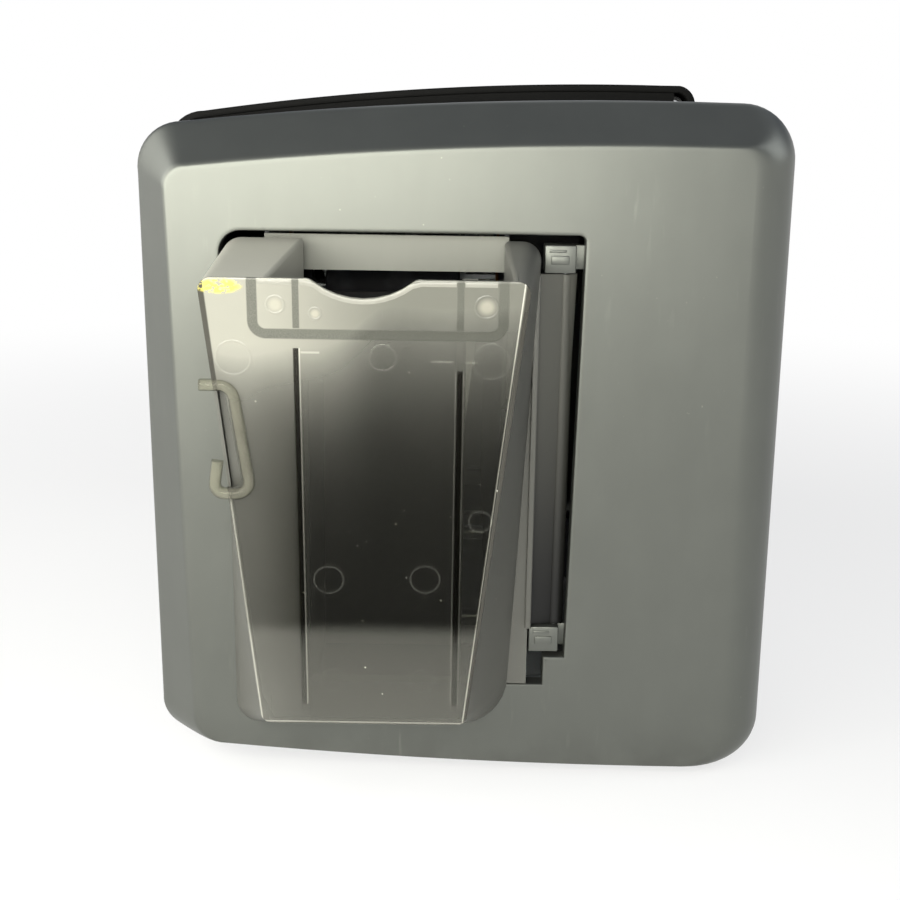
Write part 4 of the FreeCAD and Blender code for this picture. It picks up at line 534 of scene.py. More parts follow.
def window_plastic():
    """Smoked clear plastic. It lets light through where it is clean and spreads it where it is frosted or
    marked: by the frosted band, the mould's circles, fine scratches, specks of dust and a smear of old
    yellow paint at the top left corner. It is veiled by a painted reflection, a glare that grows towards
    the top and the left, with more veil to the left and towards the foot, and it carries the ribs' painted
    shadows, painted highlights along the ribs and the edges, and painted shade on the edges."""
    finish = Finish("smoked window", specular=0.55)
    y, z = finish.y, finish.z
    fine = finish.noise(0.45, 2)
    cloud = finish.noise(26, 3) * 0.5 + 0.75
    band = window_band(finish)
    circles, discs = window_circles(finish)
    ribs, lines, edge_shade = window_lines(finish)
    # painted reflection: a glare of bright light that veils the plate, growing towards the top and the left
    glare = ((z - 176) / 15).growth() * (y.fade(-26, -52) * 0.42 + 0.28)
    side = y.fade(-50, -80) * 0.18
    foot = z.fade(77, 69) * ((68 - z).most(0) * 0.004 + 0.2)
    scratch = finish.noise(0.9, 2, (1, 1, 26)).fade(0.62, 0.8) * finish.noise(30, 2).fade(0.4, 0.7)
    veil = (glare * cloud + side * cloud + foot + scratch * 0.06 + circles * 0.09 + lines * 0.3).least(0.94)
    veil = (veil * (1 - ribs * 0.55)).most(band * 0.62).most(edge_shade * 0.8)
    smear_y, smear_z = y - SMEAR[0], z - SMEAR[1]
    smear = (smear_y * smear_y / 58 + smear_z * smear_z / 7.0).fade(1.35, 0.45)
    smear = smear * finish.noise(1.3, 4, (1, 1.6, 1), 0.7).fade(0.44, 0.5)
    specks = finish.noise(1.5, 1).fade(0.78, 0.82) * finish.noise(11, 1).fade(0.5, 0.6)
    # the painted glare's colour, paler to the left
    pale = finish.blend(tone(108, 108, 100), tone(152, 151, 141), y.fade(-18, -76))
    paint = finish.blend(tone(128, 128, 122), pale, glare.least(1.0))
    # the ribs' painted shadows and the edges' painted shade take the dark colour; the painted highlights
    # and the dust specks take the pale one
    for colour, share in ((tone(176, 173, 158), discs * 0.55),
                          (tone(84, 85, 77), band * (fine * 0.5 + 0.65)),
                          (tone(50, 48, 41), ribs.most(edge_shade) * 0.92),
                          (tone(214, 213, 202), lines.most(specks)), (tone(222, 208, 84), smear)):
        paint = finish.blend(paint, colour, share)
    rough = (0.16 + band * 0.2 + scratch * 0.1 + smear * 0.3 + fine * 0.03).least(0.8)
    height = band * 0.6 + circles * 1.4 + fine * 0.02 + smear * 0.6 + lines
    finish.coat(paint, rough, height, 0.12, 0.5)
    clear = finish.node("ShaderNodeBsdfTransparent", {}, {"Color": tone(196, 196, 190)})
    gloss = Value(finish, finish.node("ShaderNodeFresnel", {}, {"IOR": 1.49}).outputs[0])
    share = (veil + gloss * 0.6).most(smear).most(specks * 0.9).least(1.0)
    finish.show(share, clear, finish.shader)
    return finish


def clear_plastic(name, crest, body):
    """The same plastic moulded thick and glossy, with a painted highlight, the pale crest colour where the
    surface faces the eye, and painted shade, dark where it turns away."""
    finish = Finish(name, specular=0.7)
    cloud = finish.noise(7, 2)
    edge = Value(finish, finish.node("ShaderNodeLayerWeight", {}, {"Blend": 0.5}).outputs["Facing"])
    # painted highlight and painted shade: pale where the surface faces the eye, dark where it turns away
    paint = finish.blend(tone(*crest), tone(52, 51, 46), edge.fade(0.3, 0.75))
    finish.coat(paint, cloud * 0.08 + 0.1)
    clear = finish.node("ShaderNodeBsdfTransparent", {}, {"Color": tone(222, 222, 214)})
    finish.show(edge.fade(0.35, 0.9) * 0.5 + cloud * 0.1 + body, clear, finish.shader)
    return finish


COVER = cover_plastic().material
POCKET = pocket_plastic().material
WINDOW = window_plastic().material
# the crest colours are painted highlights
BEAD = clear_plastic("clear bead", (184, 183, 174), 0.5).material
CLEAR = clear_plastic("clear rim", (190, 188, 172), 0.1).material
LID = plastic("lid black", (13, 13, 12), 0.62, 0.4, 0.1, 0.0, 0.3, 0.1).material
CASING = plastic("casing dark", (56, 57, 58), 0.5, 0.4, 0.06, 0.0, 0.3).material
KEY = plastic("key grey", (150, 152, 150), 0.45, 0.25, 0.03).material
BLACK = plastic("black plastic", (24, 24, 25), 0.5, 0.5, 0.12).material
GEAR = plastic("gear plastic", (226, 222, 206), 0.5, 0.8, 0.03).material
STEEL = metal("turned steel", (186, 188, 190), 0.28, (1, 0.15, 1), 0.5).material
SHEET_STEEL = metal("zinc plated sheet", (176, 180, 182), 0.42, (12, 1, 1), 0.8, (150, 148, 136)).material
PAINTED = plastic("painted plate", (124, 125, 118), 0.5, 0.5, 0.04, 0.2, 0.2).material
FRAME_STEEL = metal("blackened sheet", (62, 63, 66), 0.5, (12, 1, 1), 0.8).material
BRONZE = metal("bush bronze", (168, 118, 66), 0.4, (1, 1, 1), 1.2, (110, 74, 42)).material
ALUMINIUM = metal("finned aluminium", (196, 198, 200), 0.38, (8, 1, 1), 0.6).material
FOOT_RUBBER = rubber("foot rubber", (32, 32, 33), 0.75, 0.5).material
ROLLER_RUBBER = rubber("roller rubber", (48, 48, 52), 0.66, 0.3).material


# End covers

# The crowned top and the underside with the radii of their arcs, the corners by the floor, how far the
# front's foot stands back, how far the bevel draws each side in, and the share of the bevel over which
# its creases are eased
CROWN_HEIGHT = 263.5
CROWN_MIDDLE = 70.0
CROWN_SPREAD = 3100.0
KEEL_HEIGHT = 3.2
KEEL_MIDDLE = 87.0
KEEL_SPREAD = 4400.0
CROWN_RADIUS = 1550
KEEL_RADIUS = 2200
HEEL = 19.0
TOE = 12.0
FRONT_BACK = 3.0
FRONT_LOW_IN = 16.0
FRONT_HIGH_IN = 12.6
TOP_IN = 15.5
UNDERSIDE_IN = 2.0
EASE = 0.075


def crown(y):
    """Height of the crowned top: it falls by the square of the way from its middle."""
    return CROWN_HEIGHT - (y - CROWN_MIDDLE) ** 2 / CROWN_SPREAD


def keel(y):
    """Height of the underside: it rises by the square of the way from its middle."""
    return KEEL_HEIGHT + (y - KEEL_MIDDLE) ** 2 / KEEL_SPREAD


def cover_outline(slant, rounding, inset=0.0, steps=12):
    """The end view's outline, drawn in by shares of the bevel and by an even inset: lines and arcs
    between the keel, the rounded heel, the rear, the crowned top, the front and the rounded toe. The
    top corners' radii shrink to 8 mm on the way up the bevel."""
    front_low = FRONT_LOW_IN * slant + FRONT_BACK - HALF_DEPTH + inset
    front_high = FRONT_HIGH_IN * slant - HALF_DEPTH + inset
    rear = HALF_DEPTH - BEVEL * rounding - inset
    drop = TOP_IN * slant + inset
    lift = UNDERSIDE_IN * rounding + inset
    front_bend = 17 - 9 * min(slant, 1)
    rear_bend = 20 - 12 * min(slant, 1)
    corners = [
        (front_low + TOE, keel(front_low + TOE) + lift),
        (rear - HEEL, keel(rear - HEEL) + lift),
        (rear, keel(rear) + lift + HEEL),
        (rear, crown(rear) - drop - rear_bend),
        (rear - rear_bend, crown(rear - rear_bend) - drop),
        (front_high + front_bend, crown(front_high + front_bend) - drop),
        (front_high, crown(front_high) - drop - front_bend),
        (front_low, keel(front_low) + lift + TOE),
    ]
    bends = {0: KEEL_RADIUS, 1: HEEL, 3: rear_bend, 4: CROWN_RADIUS, 5: front_bend, 7: TOE}
    return arc_outline(corners, bends, steps)


def bevel_rings(inset):
    """Outlines from the shoulder over the bevel to the flat face.

    The place along X gives both shares: the top and front lie on a straight slope, s = (x - shoulder)
    / bevel, and the rear on a quarter circle, 1 - sqrt(1 - s^2). Both creases of the slope are eased
    by a parabola that meets the straight parts without a kink.
    """
    shoulder = HALF_LENGTH - BEVEL
    depth = BEVEL - inset
    rings = []
    for s in np.linspace(-EASE, EASE, 5):
        slant = (s + EASE) ** 2 / (4 * EASE)
        rings.append((shoulder + depth * s, slant, 1 - math.sqrt(1 - max(s, 0) ** 2)))
    for s in np.sin(np.radians([9, 16, 24, 32, 40, 48, 56, 63])):
        rings.append((shoulder + depth * s, s, 1 - math.sqrt(1 - s * s)))
    for s in np.linspace(1 - EASE, 1 + EASE, 7):
        along = s - (s - 1 + EASE) ** 2 / (4 * EASE)
        rings.append((shoulder + depth * along, s, 1 - math.sqrt(max(1 - along * along, 0))))
    rings.append((shoulder + depth, 1.16, 1.0))
    return [at_x(cover_outline(slant, rounding, inset), x) for x, slant, rounding in rings]


def bay_outline():
    """The bay's outline: straight sides, a stepped lower right corner, and its upper left part wider."""
    left, wide_left, step, right = -84, -90, 33.6, 44.7
    bottom, step_height, wide_from, top = 39.3, 50.8, 201, 215.1
    corners = [(left, bottom), (step, bottom), (step, step_height), (right - 2.9, step_height),
               (right, top - 2.1), (right - 2.5, top), (wide_left + 8, top), (wide_left, top - 7.6),
               (wide_left, wide_from), (left, wide_from)]
    return arc_outline(corners, {4: 2.5, 6: 8}, 8)


def end_cover(mirror):
    """One end cover: a closed shell carried round its own section, from the inner rim over the bevel
    and the face into the bay's wall, and back along the inside, with the two hinge brackets."""
    shell = Shell()
    rim = [at_x(cover_outline(0, 0, inset), COVER_START + lift)
           for inset, lift in ((WALL, 0), (0.5, 0), (0.15, 0.15), (0, 0.5))]
    starts = shell.grid(rim + bevel_rings(0.0))
    inside = shell.grid([*bevel_rings(WALL)[::-1], rim[0]])
    around = len(rim[0])
    bay = bay_outline()
    bay_floor = BRACKET_BACK + 3.8
    edge = [(1.5, HALF_LENGTH), (0.9, HALF_LENGTH), (0.35, HALF_LENGTH - 0.12),
            (0.08, HALF_LENGTH - 0.4), (0, HALF_LENGTH - 0.9), (0, bay_floor), (0.6, bay_floor - 0.4),
            (WALL, bay_floor - 0.4), (WALL, HALF_LENGTH - WALL)]
    bay_starts = shell.grid([at_x(grown(bay, out), x) for out, x in edge])
    shell.sheet((starts[-1], around), (bay_starts[0], len(bay)))
    shell.sheet((inside[0], around), (bay_starts[-1], len(bay)))
    for low, left in ((52.7, 27.9), (201.2, 29.8)):
        hinge_bracket(shell, low, left)
    side, node = ("input", "left") if mirror else ("output", "right")
    put(f"{side}_end_cover", shell, "housing", COVER, (f"{node}_end_cover",), mirror,
        smooth=24)


def hinge_bracket(shell, low, left):
    """A hinge bracket in the bay: a block with an arm to the pin, and two raised bars on its face."""
    face = HALF_LENGTH - 1
    shell.block((BRACKET_BACK, left, low), (face, left + 11.6, low + 10.2), 0.5)
    shell.block((BRACKET_BACK, left + 8, low + 1), (BRACKET_BACK + 4.9, 47, low + 10), 0.4)
    shell.block((face - 0.4, left + 2.4, low + 3.2), (face + 0.5, left + 9, low + 6.4), 0.3)
    shell.block((face - 0.4, left + 1.6, low + 7.6), (face + 0.4, left + 8, low + 8.6), 0.3)


for mirror in (False, True):
    end_cover(mirror)


# Hopper pockets

# How far down the mouth's walls reach, how far the pocket's foot stands off the face, how much of its
# thickness the wall keeps at the window, and the hinge strip's heights and left edge
MOUTH_HEIGHT = 193.5
POCKET_LIFT = 0.35
THINNING = 0.55
HINGE_STRIP = (63.4, 200.6)
STRIP_LEFT = 26.1


def window_frame(inset):
    """The window's left and right at its top and at its foot, its top and its bottom, drawn in."""
    return (WINDOW_LEFT + inset, WINDOW_LEFT_FOOT + inset, WINDOW_RIGHT - inset, WINDOW_RIGHT_FOOT - inset,
            WINDOW_TOP - inset, WINDOW_BOTTOM + inset)


def pocket_profile(front, inset):
    """The pocket's open outline at its foot or behind the window, from the mouth's left wall round
    under the pocket to the mouth's right wall: lines and arcs between fourteen corners."""
    if front:
        left, left_low, right, right_low, top, bottom = window_frame(inset)
        mouth_left, mouth_right = -66.7 - inset, 16.8 + inset
        high_right, low_right, low_left, high_left = 4.5, 4.0, 4.0, 4.5
    else:
        left, left_low = -88.5 + inset, -86.8 + inset
        right, right_low = 28.5 - inset, 20 - inset
        top, bottom = 213 - inset, 22 + inset
        mouth_left, mouth_right = -58.7 - inset, 14.8 + inset
        high_right, low_right, low_left, high_left = 7.0, 20.0, 9.0, 7.0
    lip = 1.6
    corners = [
        (mouth_left, MOUTH_HEIGHT), (mouth_left, top - lip), (mouth_left - lip, top),
        (left + high_left, top), (left, top - high_left), (left_low, bottom + low_left),
        (left_low + low_left, bottom), (right_low - low_right, bottom), (right_low, bottom + low_right),
        (right, top - high_right), (right - high_right, top), (mouth_right + lip, top),
        (mouth_right, top - lip), (mouth_right, MOUTH_HEIGHT),
    ]
    bends = {1: lip, 3: high_left, 5: low_left, 7: low_right, 9: high_right, 11: lip}
    return arc_outline(corners, bends, 8)[:-7]


def window_back(z, back):
    """How far out along X the plane at a distance behind the window's outer face is, at a height."""
    return WINDOW_FOOT + z * LEAN - back * LEAN_STRETCH


def pocket_walls(shell):
    """The walls from the foot on the flat face out to the leaning window, each point of the outline
    going in a straight line, with eased edges at both ends."""
    base = [pocket_profile(False, inset) for inset in (0.0, PLATE)]
    front = [pocket_profile(True, inset * THINNING) for inset in (0.0, PLATE)]
    foot = HALF_LENGTH + POCKET_LIFT
    rows = []
    for share, ease in ((0.0, 0.5), (0.006, 0.15), (0.02, 0), (0.25, 0), (0.5, 0), (0.75, 0), (0.98, 0),
                        (1.0, 0.3)):
        outer, inner = [base[side] * (1 - share) + front[side] * share for side in (0, 1)]
        loop = []
        for side, outline in enumerate((outer, inner)):
            x = foot * (1 - share) + window_back(front[side][:, 1], PLATE) * share
            drawn = outline + ((outer + inner) / 2 - outline) * ease / PLATE * 1.2
            loop.append(np.column_stack([x, drawn]))
        rows.append(np.concatenate([loop[0], loop[1][::-1]]))
    shell.bar(rows)


def pocket(mirror):
    """One hopper pocket: its walls, two inner walls beside the cards, the grey face behind the left of
    the window, the hinge strip with its barrel, and the flange between strip and pocket."""
    shell = Shell()
    pocket_walls(shell)
    foot = HALF_LENGTH + POCKET_LIFT
    behind = 4.8
    wall_top = MOUTH_HEIGHT + 0.5
    for y_low, y_high, z_low in ((-59.9, -57.5, 24), (14.9, 16.9, 150)):
        z_front = z_low + 12
        outline = np.asarray([(foot, z_low), (window_back(z_front, behind), z_front),
                              (window_back(wall_top, behind), wall_top), (foot, wall_top)])
        shell.round_bar(outline, at_y, y_low, y_high, 0.3, 2)
    face = np.asarray([(-72.6, 36.6), (-58.2, 36.6), (-58.2, 193.6), (-87.6, 193.6)]) * [1, LEAN_STRETCH]
    shell.round_bar(face, leaning, -7.2, -behind, 0.2, 2)
    strip_low, strip_high = HINGE_STRIP
    section = np.asarray([(167.2, STRIP_LEFT), (170.0, STRIP_LEFT), (168.2, 40.6), (167.0, 42.2),
                          (165.4, 42.4), (165.8, 40.0)])
    narrowing = np.outer([0, 0, 1, 1, 1, 1], [0, 4.0])
    shell.bar([at_z(section - narrowing, strip_low), at_z(section, strip_high)])
    shell.block((167.2, STRIP_LEFT, strip_low), (175.2, 28.5, strip_high), 0.4)
    flange = [(18.6, 39.8), (27.2, 39.8), (27.2, 62.8), (28.5, 63.6), (28.5, 196), (27.0, 196), (18.6, 43)]
    shell.bar([at_x(flange, x) for x in (foot - 1.8, foot + 0.1)])
    shell.roll(1.6, 3.4, strip_low, strip_high, (0.3, 0.3), HINGE, "z", 48)
    body, side = ("input_hopper", "input") if mirror else ("output_hopper", "output")
    put(f"{side}_pocket", shell, body, POCKET, (f"{side}_hopper_pocket",), mirror,
        smooth=32)


for mirror in (False, True):
    pocket(mirror)


# Windows

# How far under the top edge the bead runs, and the finger notch's ends and radius
BEAD_DROP = 1.4
NOTCH = (-52.3, -15.9)
NOTCH_RADIUS = 27.5


def window_outline(inset):
    """The window's outline up the leaning plane: tapered sides, rounded corners, a finger notch cut
    into the top edge by an arc whose ends are eased, and a slanting finger slot open to the left."""
    left, left_low, right, right_low, top, bottom = window_frame(inset)
    notch_left, notch_right = NOTCH[0] - inset, NOTCH[1] + inset
    slot_top, slot_low = 164.7 + inset, 128.6 - inset
    bend, low_bend, slot_bend = 4.5, 4, 3.4
    corners = [
        (left_low + low_bend, bottom), (right_low - low_bend, bottom),
        (right_low, bottom + low_bend), (right, top - bend), (right - bend, top),
        (notch_right + 2, top), (notch_right - 1.4, top - 0.9),
        (notch_left + 1.4, top - 0.9), (notch_left - 2, top), (left + bend, top),
        (left, top - bend), (left_edge(slot_top) + inset, slot_top), (-84.6 + inset, slot_top),
        (-81.5 + inset, slot_top - slot_bend), (-77.4 + inset, slot_low + slot_bend),
        (-80.6 + inset, slot_low), (left_edge(slot_low) + inset, slot_low), (left_low, bottom + low_bend),
    ]
    bends = {1: low_bend, 3: bend, 5: 4, 6: -NOTCH_RADIUS, 7: 4, 9: bend, 12: -3.5, 14: -3.5, 17: low_bend}
    return arc_outline(corners, bends, 8) * [1, LEAN_STRETCH]


def rim(shell, path, width, low, high, steps):
    """A rim in the leaning plane: straight sides from low up to a half ellipse whose crest is high,
    carried along an open path of places along Y and heights."""
    angle = np.linspace(0, math.pi, steps)
    shoulder = high - min(width / 2, (high - low) * 0.8)
    crest = np.stack([np.cos(angle) * width / 2, shoulder + np.sin(angle) * (high - shoulder)], 1)
    profile = np.concatenate([[(width / 2, low)], crest, [(-width / 2, low)]])
    path = np.asarray(path, float) * [1, LEAN_STRETCH]
    run = np.gradient(path, axis=0)
    normal = np.stack([run[:, 1], -run[:, 0]], 1) / np.hypot(run[:, 0], run[:, 1])[:, None]
    shell.bar([leaning(point + side * profile[:, :1], profile[:, 1])
               for point, side in zip(path, normal)])


def window_plate():
    """A window's plate with rounded edges, and two guide ribs behind it."""
    shell = Shell()
    edge = [(0.8, -PLATE), (0.5, -PLATE), (0.12, -PLATE + 0.12), (0, -PLATE + 0.5), (0, -0.5),
            (0.12, -0.12), (0.5, 0), (0.8, 0)]
    outlines = [leaning(window_outline(inset), lift) for inset, lift in edge]
    starts = shell.grid(outlines)
    for start in (starts[0], starts[-1]):
        shell.sheet((start, len(outlines[0])))
    for y in RIB_PLACES:
        rib = np.asarray([(y, 38.5), (y + RIB_WIDTH, 38.5), (y + RIB_WIDTH, 192.2), (y, 192.2)])
        shell.bar([leaning(rib * [1, LEAN_STRETCH], lift) for lift in (-7.2, -PLATE + 0.2)])
    return shell


def window_bead():
    """The bead along a window's top edge and round the notch, left out where the ribs' painted shadows
    cross it.
    """
    shell = Shell()
    top = WINDOW_TOP - BEAD_DROP
    rib_left, rib_right = RIB_PLACES
    notch_left, notch_right = NOTCH
    start, end = rib_right - 0.3, rib_left + RIB_WIDTH + 0.3
    curve = arc_outline([(start, top), (notch_right + 1.5, top), (notch_right - 1.7, top - 0.9),
                         (notch_left + 1.7, top - 0.9), (notch_left - 1.5, top), (end, top),
                         (end, 230)], {2: -NOTCH_RADIUS}, 10)[:5 * 10 + 1]
    right = [(11.2, top), (rib_right + RIB_WIDTH + 0.3, top)]
    left = [(rib_left - 0.3, top), (-69.4, top)]
    for path in (right, curve, left):
        rim(shell, path, 2.0, -0.3, 0.12, 10)
    return shell


def slot_rim():
    """The clear rim round a window's finger slot: it stands proud and reaches out past the left edge."""
    shell = Shell()
    loop = arc_outline([(-90.6, 166.3), (-83.0, 166.3), (-78.6, 161.4), (-74.6, 130.8), (-79.4, 126.2),
                        (-84.0, 126.2), (-86.9, 130.0), (-85.6, 138.5), (-120, 131.5)],
                       {1: -5.6, 3: -4.8, 5: -3.4}, 9)[:7 * 9 + 1]
    rim(shell, loop, 4.0, -PLATE, 1.8, 14)
    return shell


for mirror, side in ((False, "output"), (True, "input")):
    hopper = f"{side}_hopper"
    put(f"{side}_window", window_plate(), hopper, WINDOW, (f"{hopper}_window",), mirror)
    put(f"{side}_window_bead", window_bead(), hopper, BEAD, (), mirror, smooth=50)
    put(f"{side}_window_rims", slot_rim(), hopper, CLEAR, (), mirror, smooth=50)


# Lid, front cover and rear cover

# Half the lid's length, its sheet's thickness, its crown, its front with the skirt's foot and the
# bend's radius, and the hinge line with the radius of the curl round it
LID_HALF = 112.1
LID_SHEET = 3.0
LID_CROWN = 269.6
LID_CROWN_MIDDLE = 62.0
LID_CROWN_SPREAD = 2200.0
LID_FRONT = -119.5
LID_FOOT = 232.0
LID_BEND = 15.0
LID_HINGE = (84.0, 262.0)
CURL = 7.6


def lid_crown(y):
    """Height of the lid's crown: it falls by the square of the way from its middle."""
    return LID_CROWN - (y - LID_CROWN_MIDDLE) ** 2 / LID_CROWN_SPREAD


def arc_points(centre, radius, start, end, count):
    """Points along an arc round a centre, from one angle in degrees to another."""
    angle = np.radians(np.linspace(start, end, count))
    return np.stack([np.cos(angle), np.sin(angle)], 1) * radius + centre


def lid_line(inset):
    """The lid's section from the skirt's foot over the front bend and the crown to the curl round the
    hinge line, drawn in by an inset: the bend and the curl are circles."""
    front = LID_FRONT + inset
    radius = LID_BEND - inset
    across = front + radius
    bend = arc_points((across, lid_crown(across) - inset - radius), radius, 180, 90, 10)
    y = np.linspace(-98, 78, 23)
    crown_line = np.stack([y, lid_crown(y) - inset], 1)
    curl = arc_points(LID_HINGE, CURL - inset, 80, 0, 8)
    skirt = [(front, LID_FOOT), (front, LID_FOOT + 8), (front, LID_FOOT + 14)]
    return np.concatenate([skirt, bend, crown_line, curl])


def lid_rib(shell, low, high, start, end, drop):
    """A rib that hangs under the crown and follows it, between two places along X."""
    corners = np.asarray([(low, -drop), (high, -drop), (high, -1.6), (low, -1.6)])
    shell.bar([at_y(corners + [0, lid_crown(y)], y) for y in np.linspace(start, end, 20)])


def top_lid():
    """The black lid: a bent sheet with rounded ends, side flanges, inner ribs and two hinge lugs."""
    shell = Shell()
    profile = np.concatenate([lid_line(0.0), lid_line(LID_SHEET)[::-1]])[::-1]
    shell.round_bar(profile, at_x, -LID_HALF, LID_HALF, 0.8, 4)
    for side in (-1, 1):
        low, high = sorted((side * 109.4, side * 111.6))
        lid_rib(shell, low, high, -107, 74, 11)
        lid_rib(shell, low, high, 74, 83, 7)
        low, high = sorted((side * 92.6, side * 101.6))
        shell.roll(2.2, 4.2, low, high, (0.3, 0.3), LID_HINGE, "x", 32)
    for x in (-60, 0, 60):
        lid_rib(shell, x - 0.9, x + 0.9, -100, 44, 6.5)
    put("black_lid", shell, "lid", LID, ("top_lid",), smooth=28)


top_lid()

softened("front_cover", "housing", CASING, 0.5)
softened("rear_cover", "housing", CASING, 0.5)


# Keys, lid release and feet

KEY_HEIGHT = 172
KEY_FACE = -121.8
KEY_DISH = 0.35


def key(name, x):
    """A round key's cap on its collar: its face is dished by the cosine of the way out from its
    middle, and its edge is rounded."""
    shell = Shell()
    dish = 3.6
    face = [(r, KEY_FACE + KEY_DISH * math.cos(r / dish * math.pi / 2)) for r in np.linspace(0, dish, 6)]
    edge = [(4.2, KEY_FACE), (4.65, KEY_FACE + 0.15), (4.9, KEY_FACE + 0.5), (4.95, KEY_FACE + 1.1),
            (4.95, -112.8)]
    shell.turned(face + edge, (x, KEY_HEIGHT), "y", 40)
    put(f"{name}_cap", shell, name, KEY, (name,), smooth=40)


for name, x in (("feed_key", 35), ("pause_key", 55), ("cancel_key", 75)):
    key(name, x)


def lid_release():
    """The lid release: a wide bar with rounded edges and a row of ribs on its face for the thumbs."""
    shell = Shell()
    low, high = 213.5, 222.5
    outline = round_rectangle(-73, low, -27, high, 3, 8)[::-1]
    rings = [(1.4, -121.15), (0.5, -121.1), (0.12, -120.8), (0, -120.3), (0, -110.5)]
    shell.bar([at_y(grown(outline, inset), y) for inset, y in rings])
    for x in np.arange(-64, -35, 3.0):
        shell.block((x - 0.5, -121.5, low + 2), (x + 0.5, -121, high - 2), 0.2)
    put("lid_release_bar", shell, "lid_release", KEY, ("lid_release_button",), smooth=35)


def feet():
    """The four rubber feet: a turned profile with a hollow under face and a rounded rim."""
    shell = Shell()
    profile = [(0.5, 1.2), (5.2, 1.2), (6.0, 0.2), (7.8, 0.0), (8.7, 0.6), (9.0, 1.8), (8.9, 6),
               (8.2, 14.4)]
    for x in (-138.5, 138.5):
        for y in (-94.5, 94.5):
            shell.turned(profile, (x, y), "z", 40)
    put("turned_feet", shell, "housing", FOOT_RUBBER, ("rubber_feet",), smooth=35)


lid_release()
feet()


# Works: rollers, gears, ribbon, motors, board and supply

SHAFT_SPAN = (-74.0, 16.7)
SHAFT_RADIUS = 3.0
ROLL_SPAN = (-57.0, -1.0)
BELT_SPANS = ((-70.95, -66.95), (-66.6, -62.6))
PULLEY_RADIUS = 6.2
SPOOL_PLACE = 58
SPOOL_HEIGHT = 218

# For each roller: its body, its place along X and its height, its radius, whether it wears rubber,
# and the belts it carries
ROLLERS = {
    "feed_roller": ("feed_roller", -95, 186, 8.0, True, (0,)),
    "platen_roller": ("platen", 0, 186, 8.0, True, (0, 1)),
    "exit_roller": ("exit_roller", 95, 186, 8.0, True, (1,)),
    "cleaning_roller": ("cleaning_roller", -95, 202, 7.0, True, ()),
    "pinch_roller": ("pinch_roller", 95, 202, 7.0, False, ()),
    "pick_roller": ("pick_roller", -135, 201, 10.0, True, ()),
}


def roller(node, body, x, z, radius, rubbered, belts):
    """A roller: a steel shaft with eased ends and a flanged pulley for each belt, and a ground sleeve."""
    shaft = Shell()
    start, end = SHAFT_SPAN
    core = SHAFT_RADIUS
    shaft.roll(0.01, core, start, end, (0.4, 0.5), (x, z), "y", 32)
    for belt in belts:
        low, high = BELT_SPANS[belt]
        waist, crest = PULLEY_RADIUS + 0.1, PULLEY_RADIUS + 0.25
        shaft.turned([(core, low), (PULLEY_RADIUS, low), (crest, low + 0.3), (waist, (low + high) / 2),
                      (crest, high - 0.3), (PULLEY_RADIUS, high), (core, high)], (x, z), "y", 40)
    put(f"{node}_shaft", shaft, body, STEEL, (node,), smooth=35)
    sleeve = Shell()
    first, last = ROLL_SPAN
    ease = 0.8
    sleeve.turned([(core, first + 0.3), (radius - ease, first), (radius, first + ease),
                   (radius, last - ease), (radius - ease, last), (core, last - 0.3)], (x, z), "y", 56)
    material, slot = (ROLLER_RUBBER, "roller_rubber") if rubbered else (STEEL, "steel")
    put(f"{node}_sleeve", sleeve, body, material, smooth=35)


for node, facts in ROLLERS.items():
    roller(node, *facts)


def wound_ribbon(side, name, body):
    """The ribbon wound on its core: a roll whose ends show the turns as fine grooves."""
    shell = Shell()
    turns = 30
    radii = np.linspace(6.2, 12.0, turns)
    groove = np.where(np.arange(turns) % 2, 0.12, 0.0)
    near = list(zip(radii, -56.6 + groove))
    far = list(zip(radii[::-1], -1.4 - groove))
    shell.turned(near + far, (side * SPOOL_PLACE, SPOOL_HEIGHT), "y", 56)
    put(name, shell, body, RIBBON, (name,), smooth=50)


def set_stops(ramp, stops):
    """Give a colour ramp its stops, each a place and a colour, in rising order."""
    for place, _ in stops[2:]:
        ramp.elements.new(place)
    for element, (place, colour) in zip(ramp.elements, stops):
        element.position = place
        element.color = colour


def ribbon_dye():
    """Dye ribbon: a glossy film with its colour panels following each other along the card path."""
    finish = Finish("dye ribbon", roughness=0.22, specular=0.6)
    ramp = finish.node("ShaderNodeValToRGB", {}, {0: (finish.x + 100) / 200})
    set_stops(ramp.color_ramp, [(0.0, tone(206, 170, 20)), (0.3, tone(150, 30, 84)),
                                (0.55, tone(20, 84, 150)), (0.8, tone(26, 25, 28))])
    ramp.color_ramp.interpolation = "CONSTANT"
    wave = finish.noise(14, 2, (1, 3, 1))
    paint = finish.blend(ramp.outputs[0], tone(60, 40, 60), wave.fade(0.3, 0.9) * 0.35)
    finish.coat(paint, None, wave, 0.2, 0.4)
    return finish.material


def circuit_board():
    """A circuit board: green lacquer over copper tracks that run square to each other."""
    finish = Finish("circuit board", roughness=0.38, specular=0.5)
    lines = []
    for run, across in ((finish.x, finish.y), (finish.y, finish.x)):
        wander = (across / 9).steps() * 3.7
        lines.append(((run * 2.2 + wander).sine() - 0.82).fade(0.0, 0.06)
                     * finish.noise(18, 0).fade(0.45, 0.5))
    tracks = lines[0].most(lines[1])
    paint = finish.blend(tone(14, 70, 42), tone(20, 86, 50), finish.noise(30, 2))
    paint = finish.blend(paint, tone(60, 128, 70), tracks * 0.7)
    finish.coat(paint, None, tracks, 0.04, 0.6)
    return finish.material


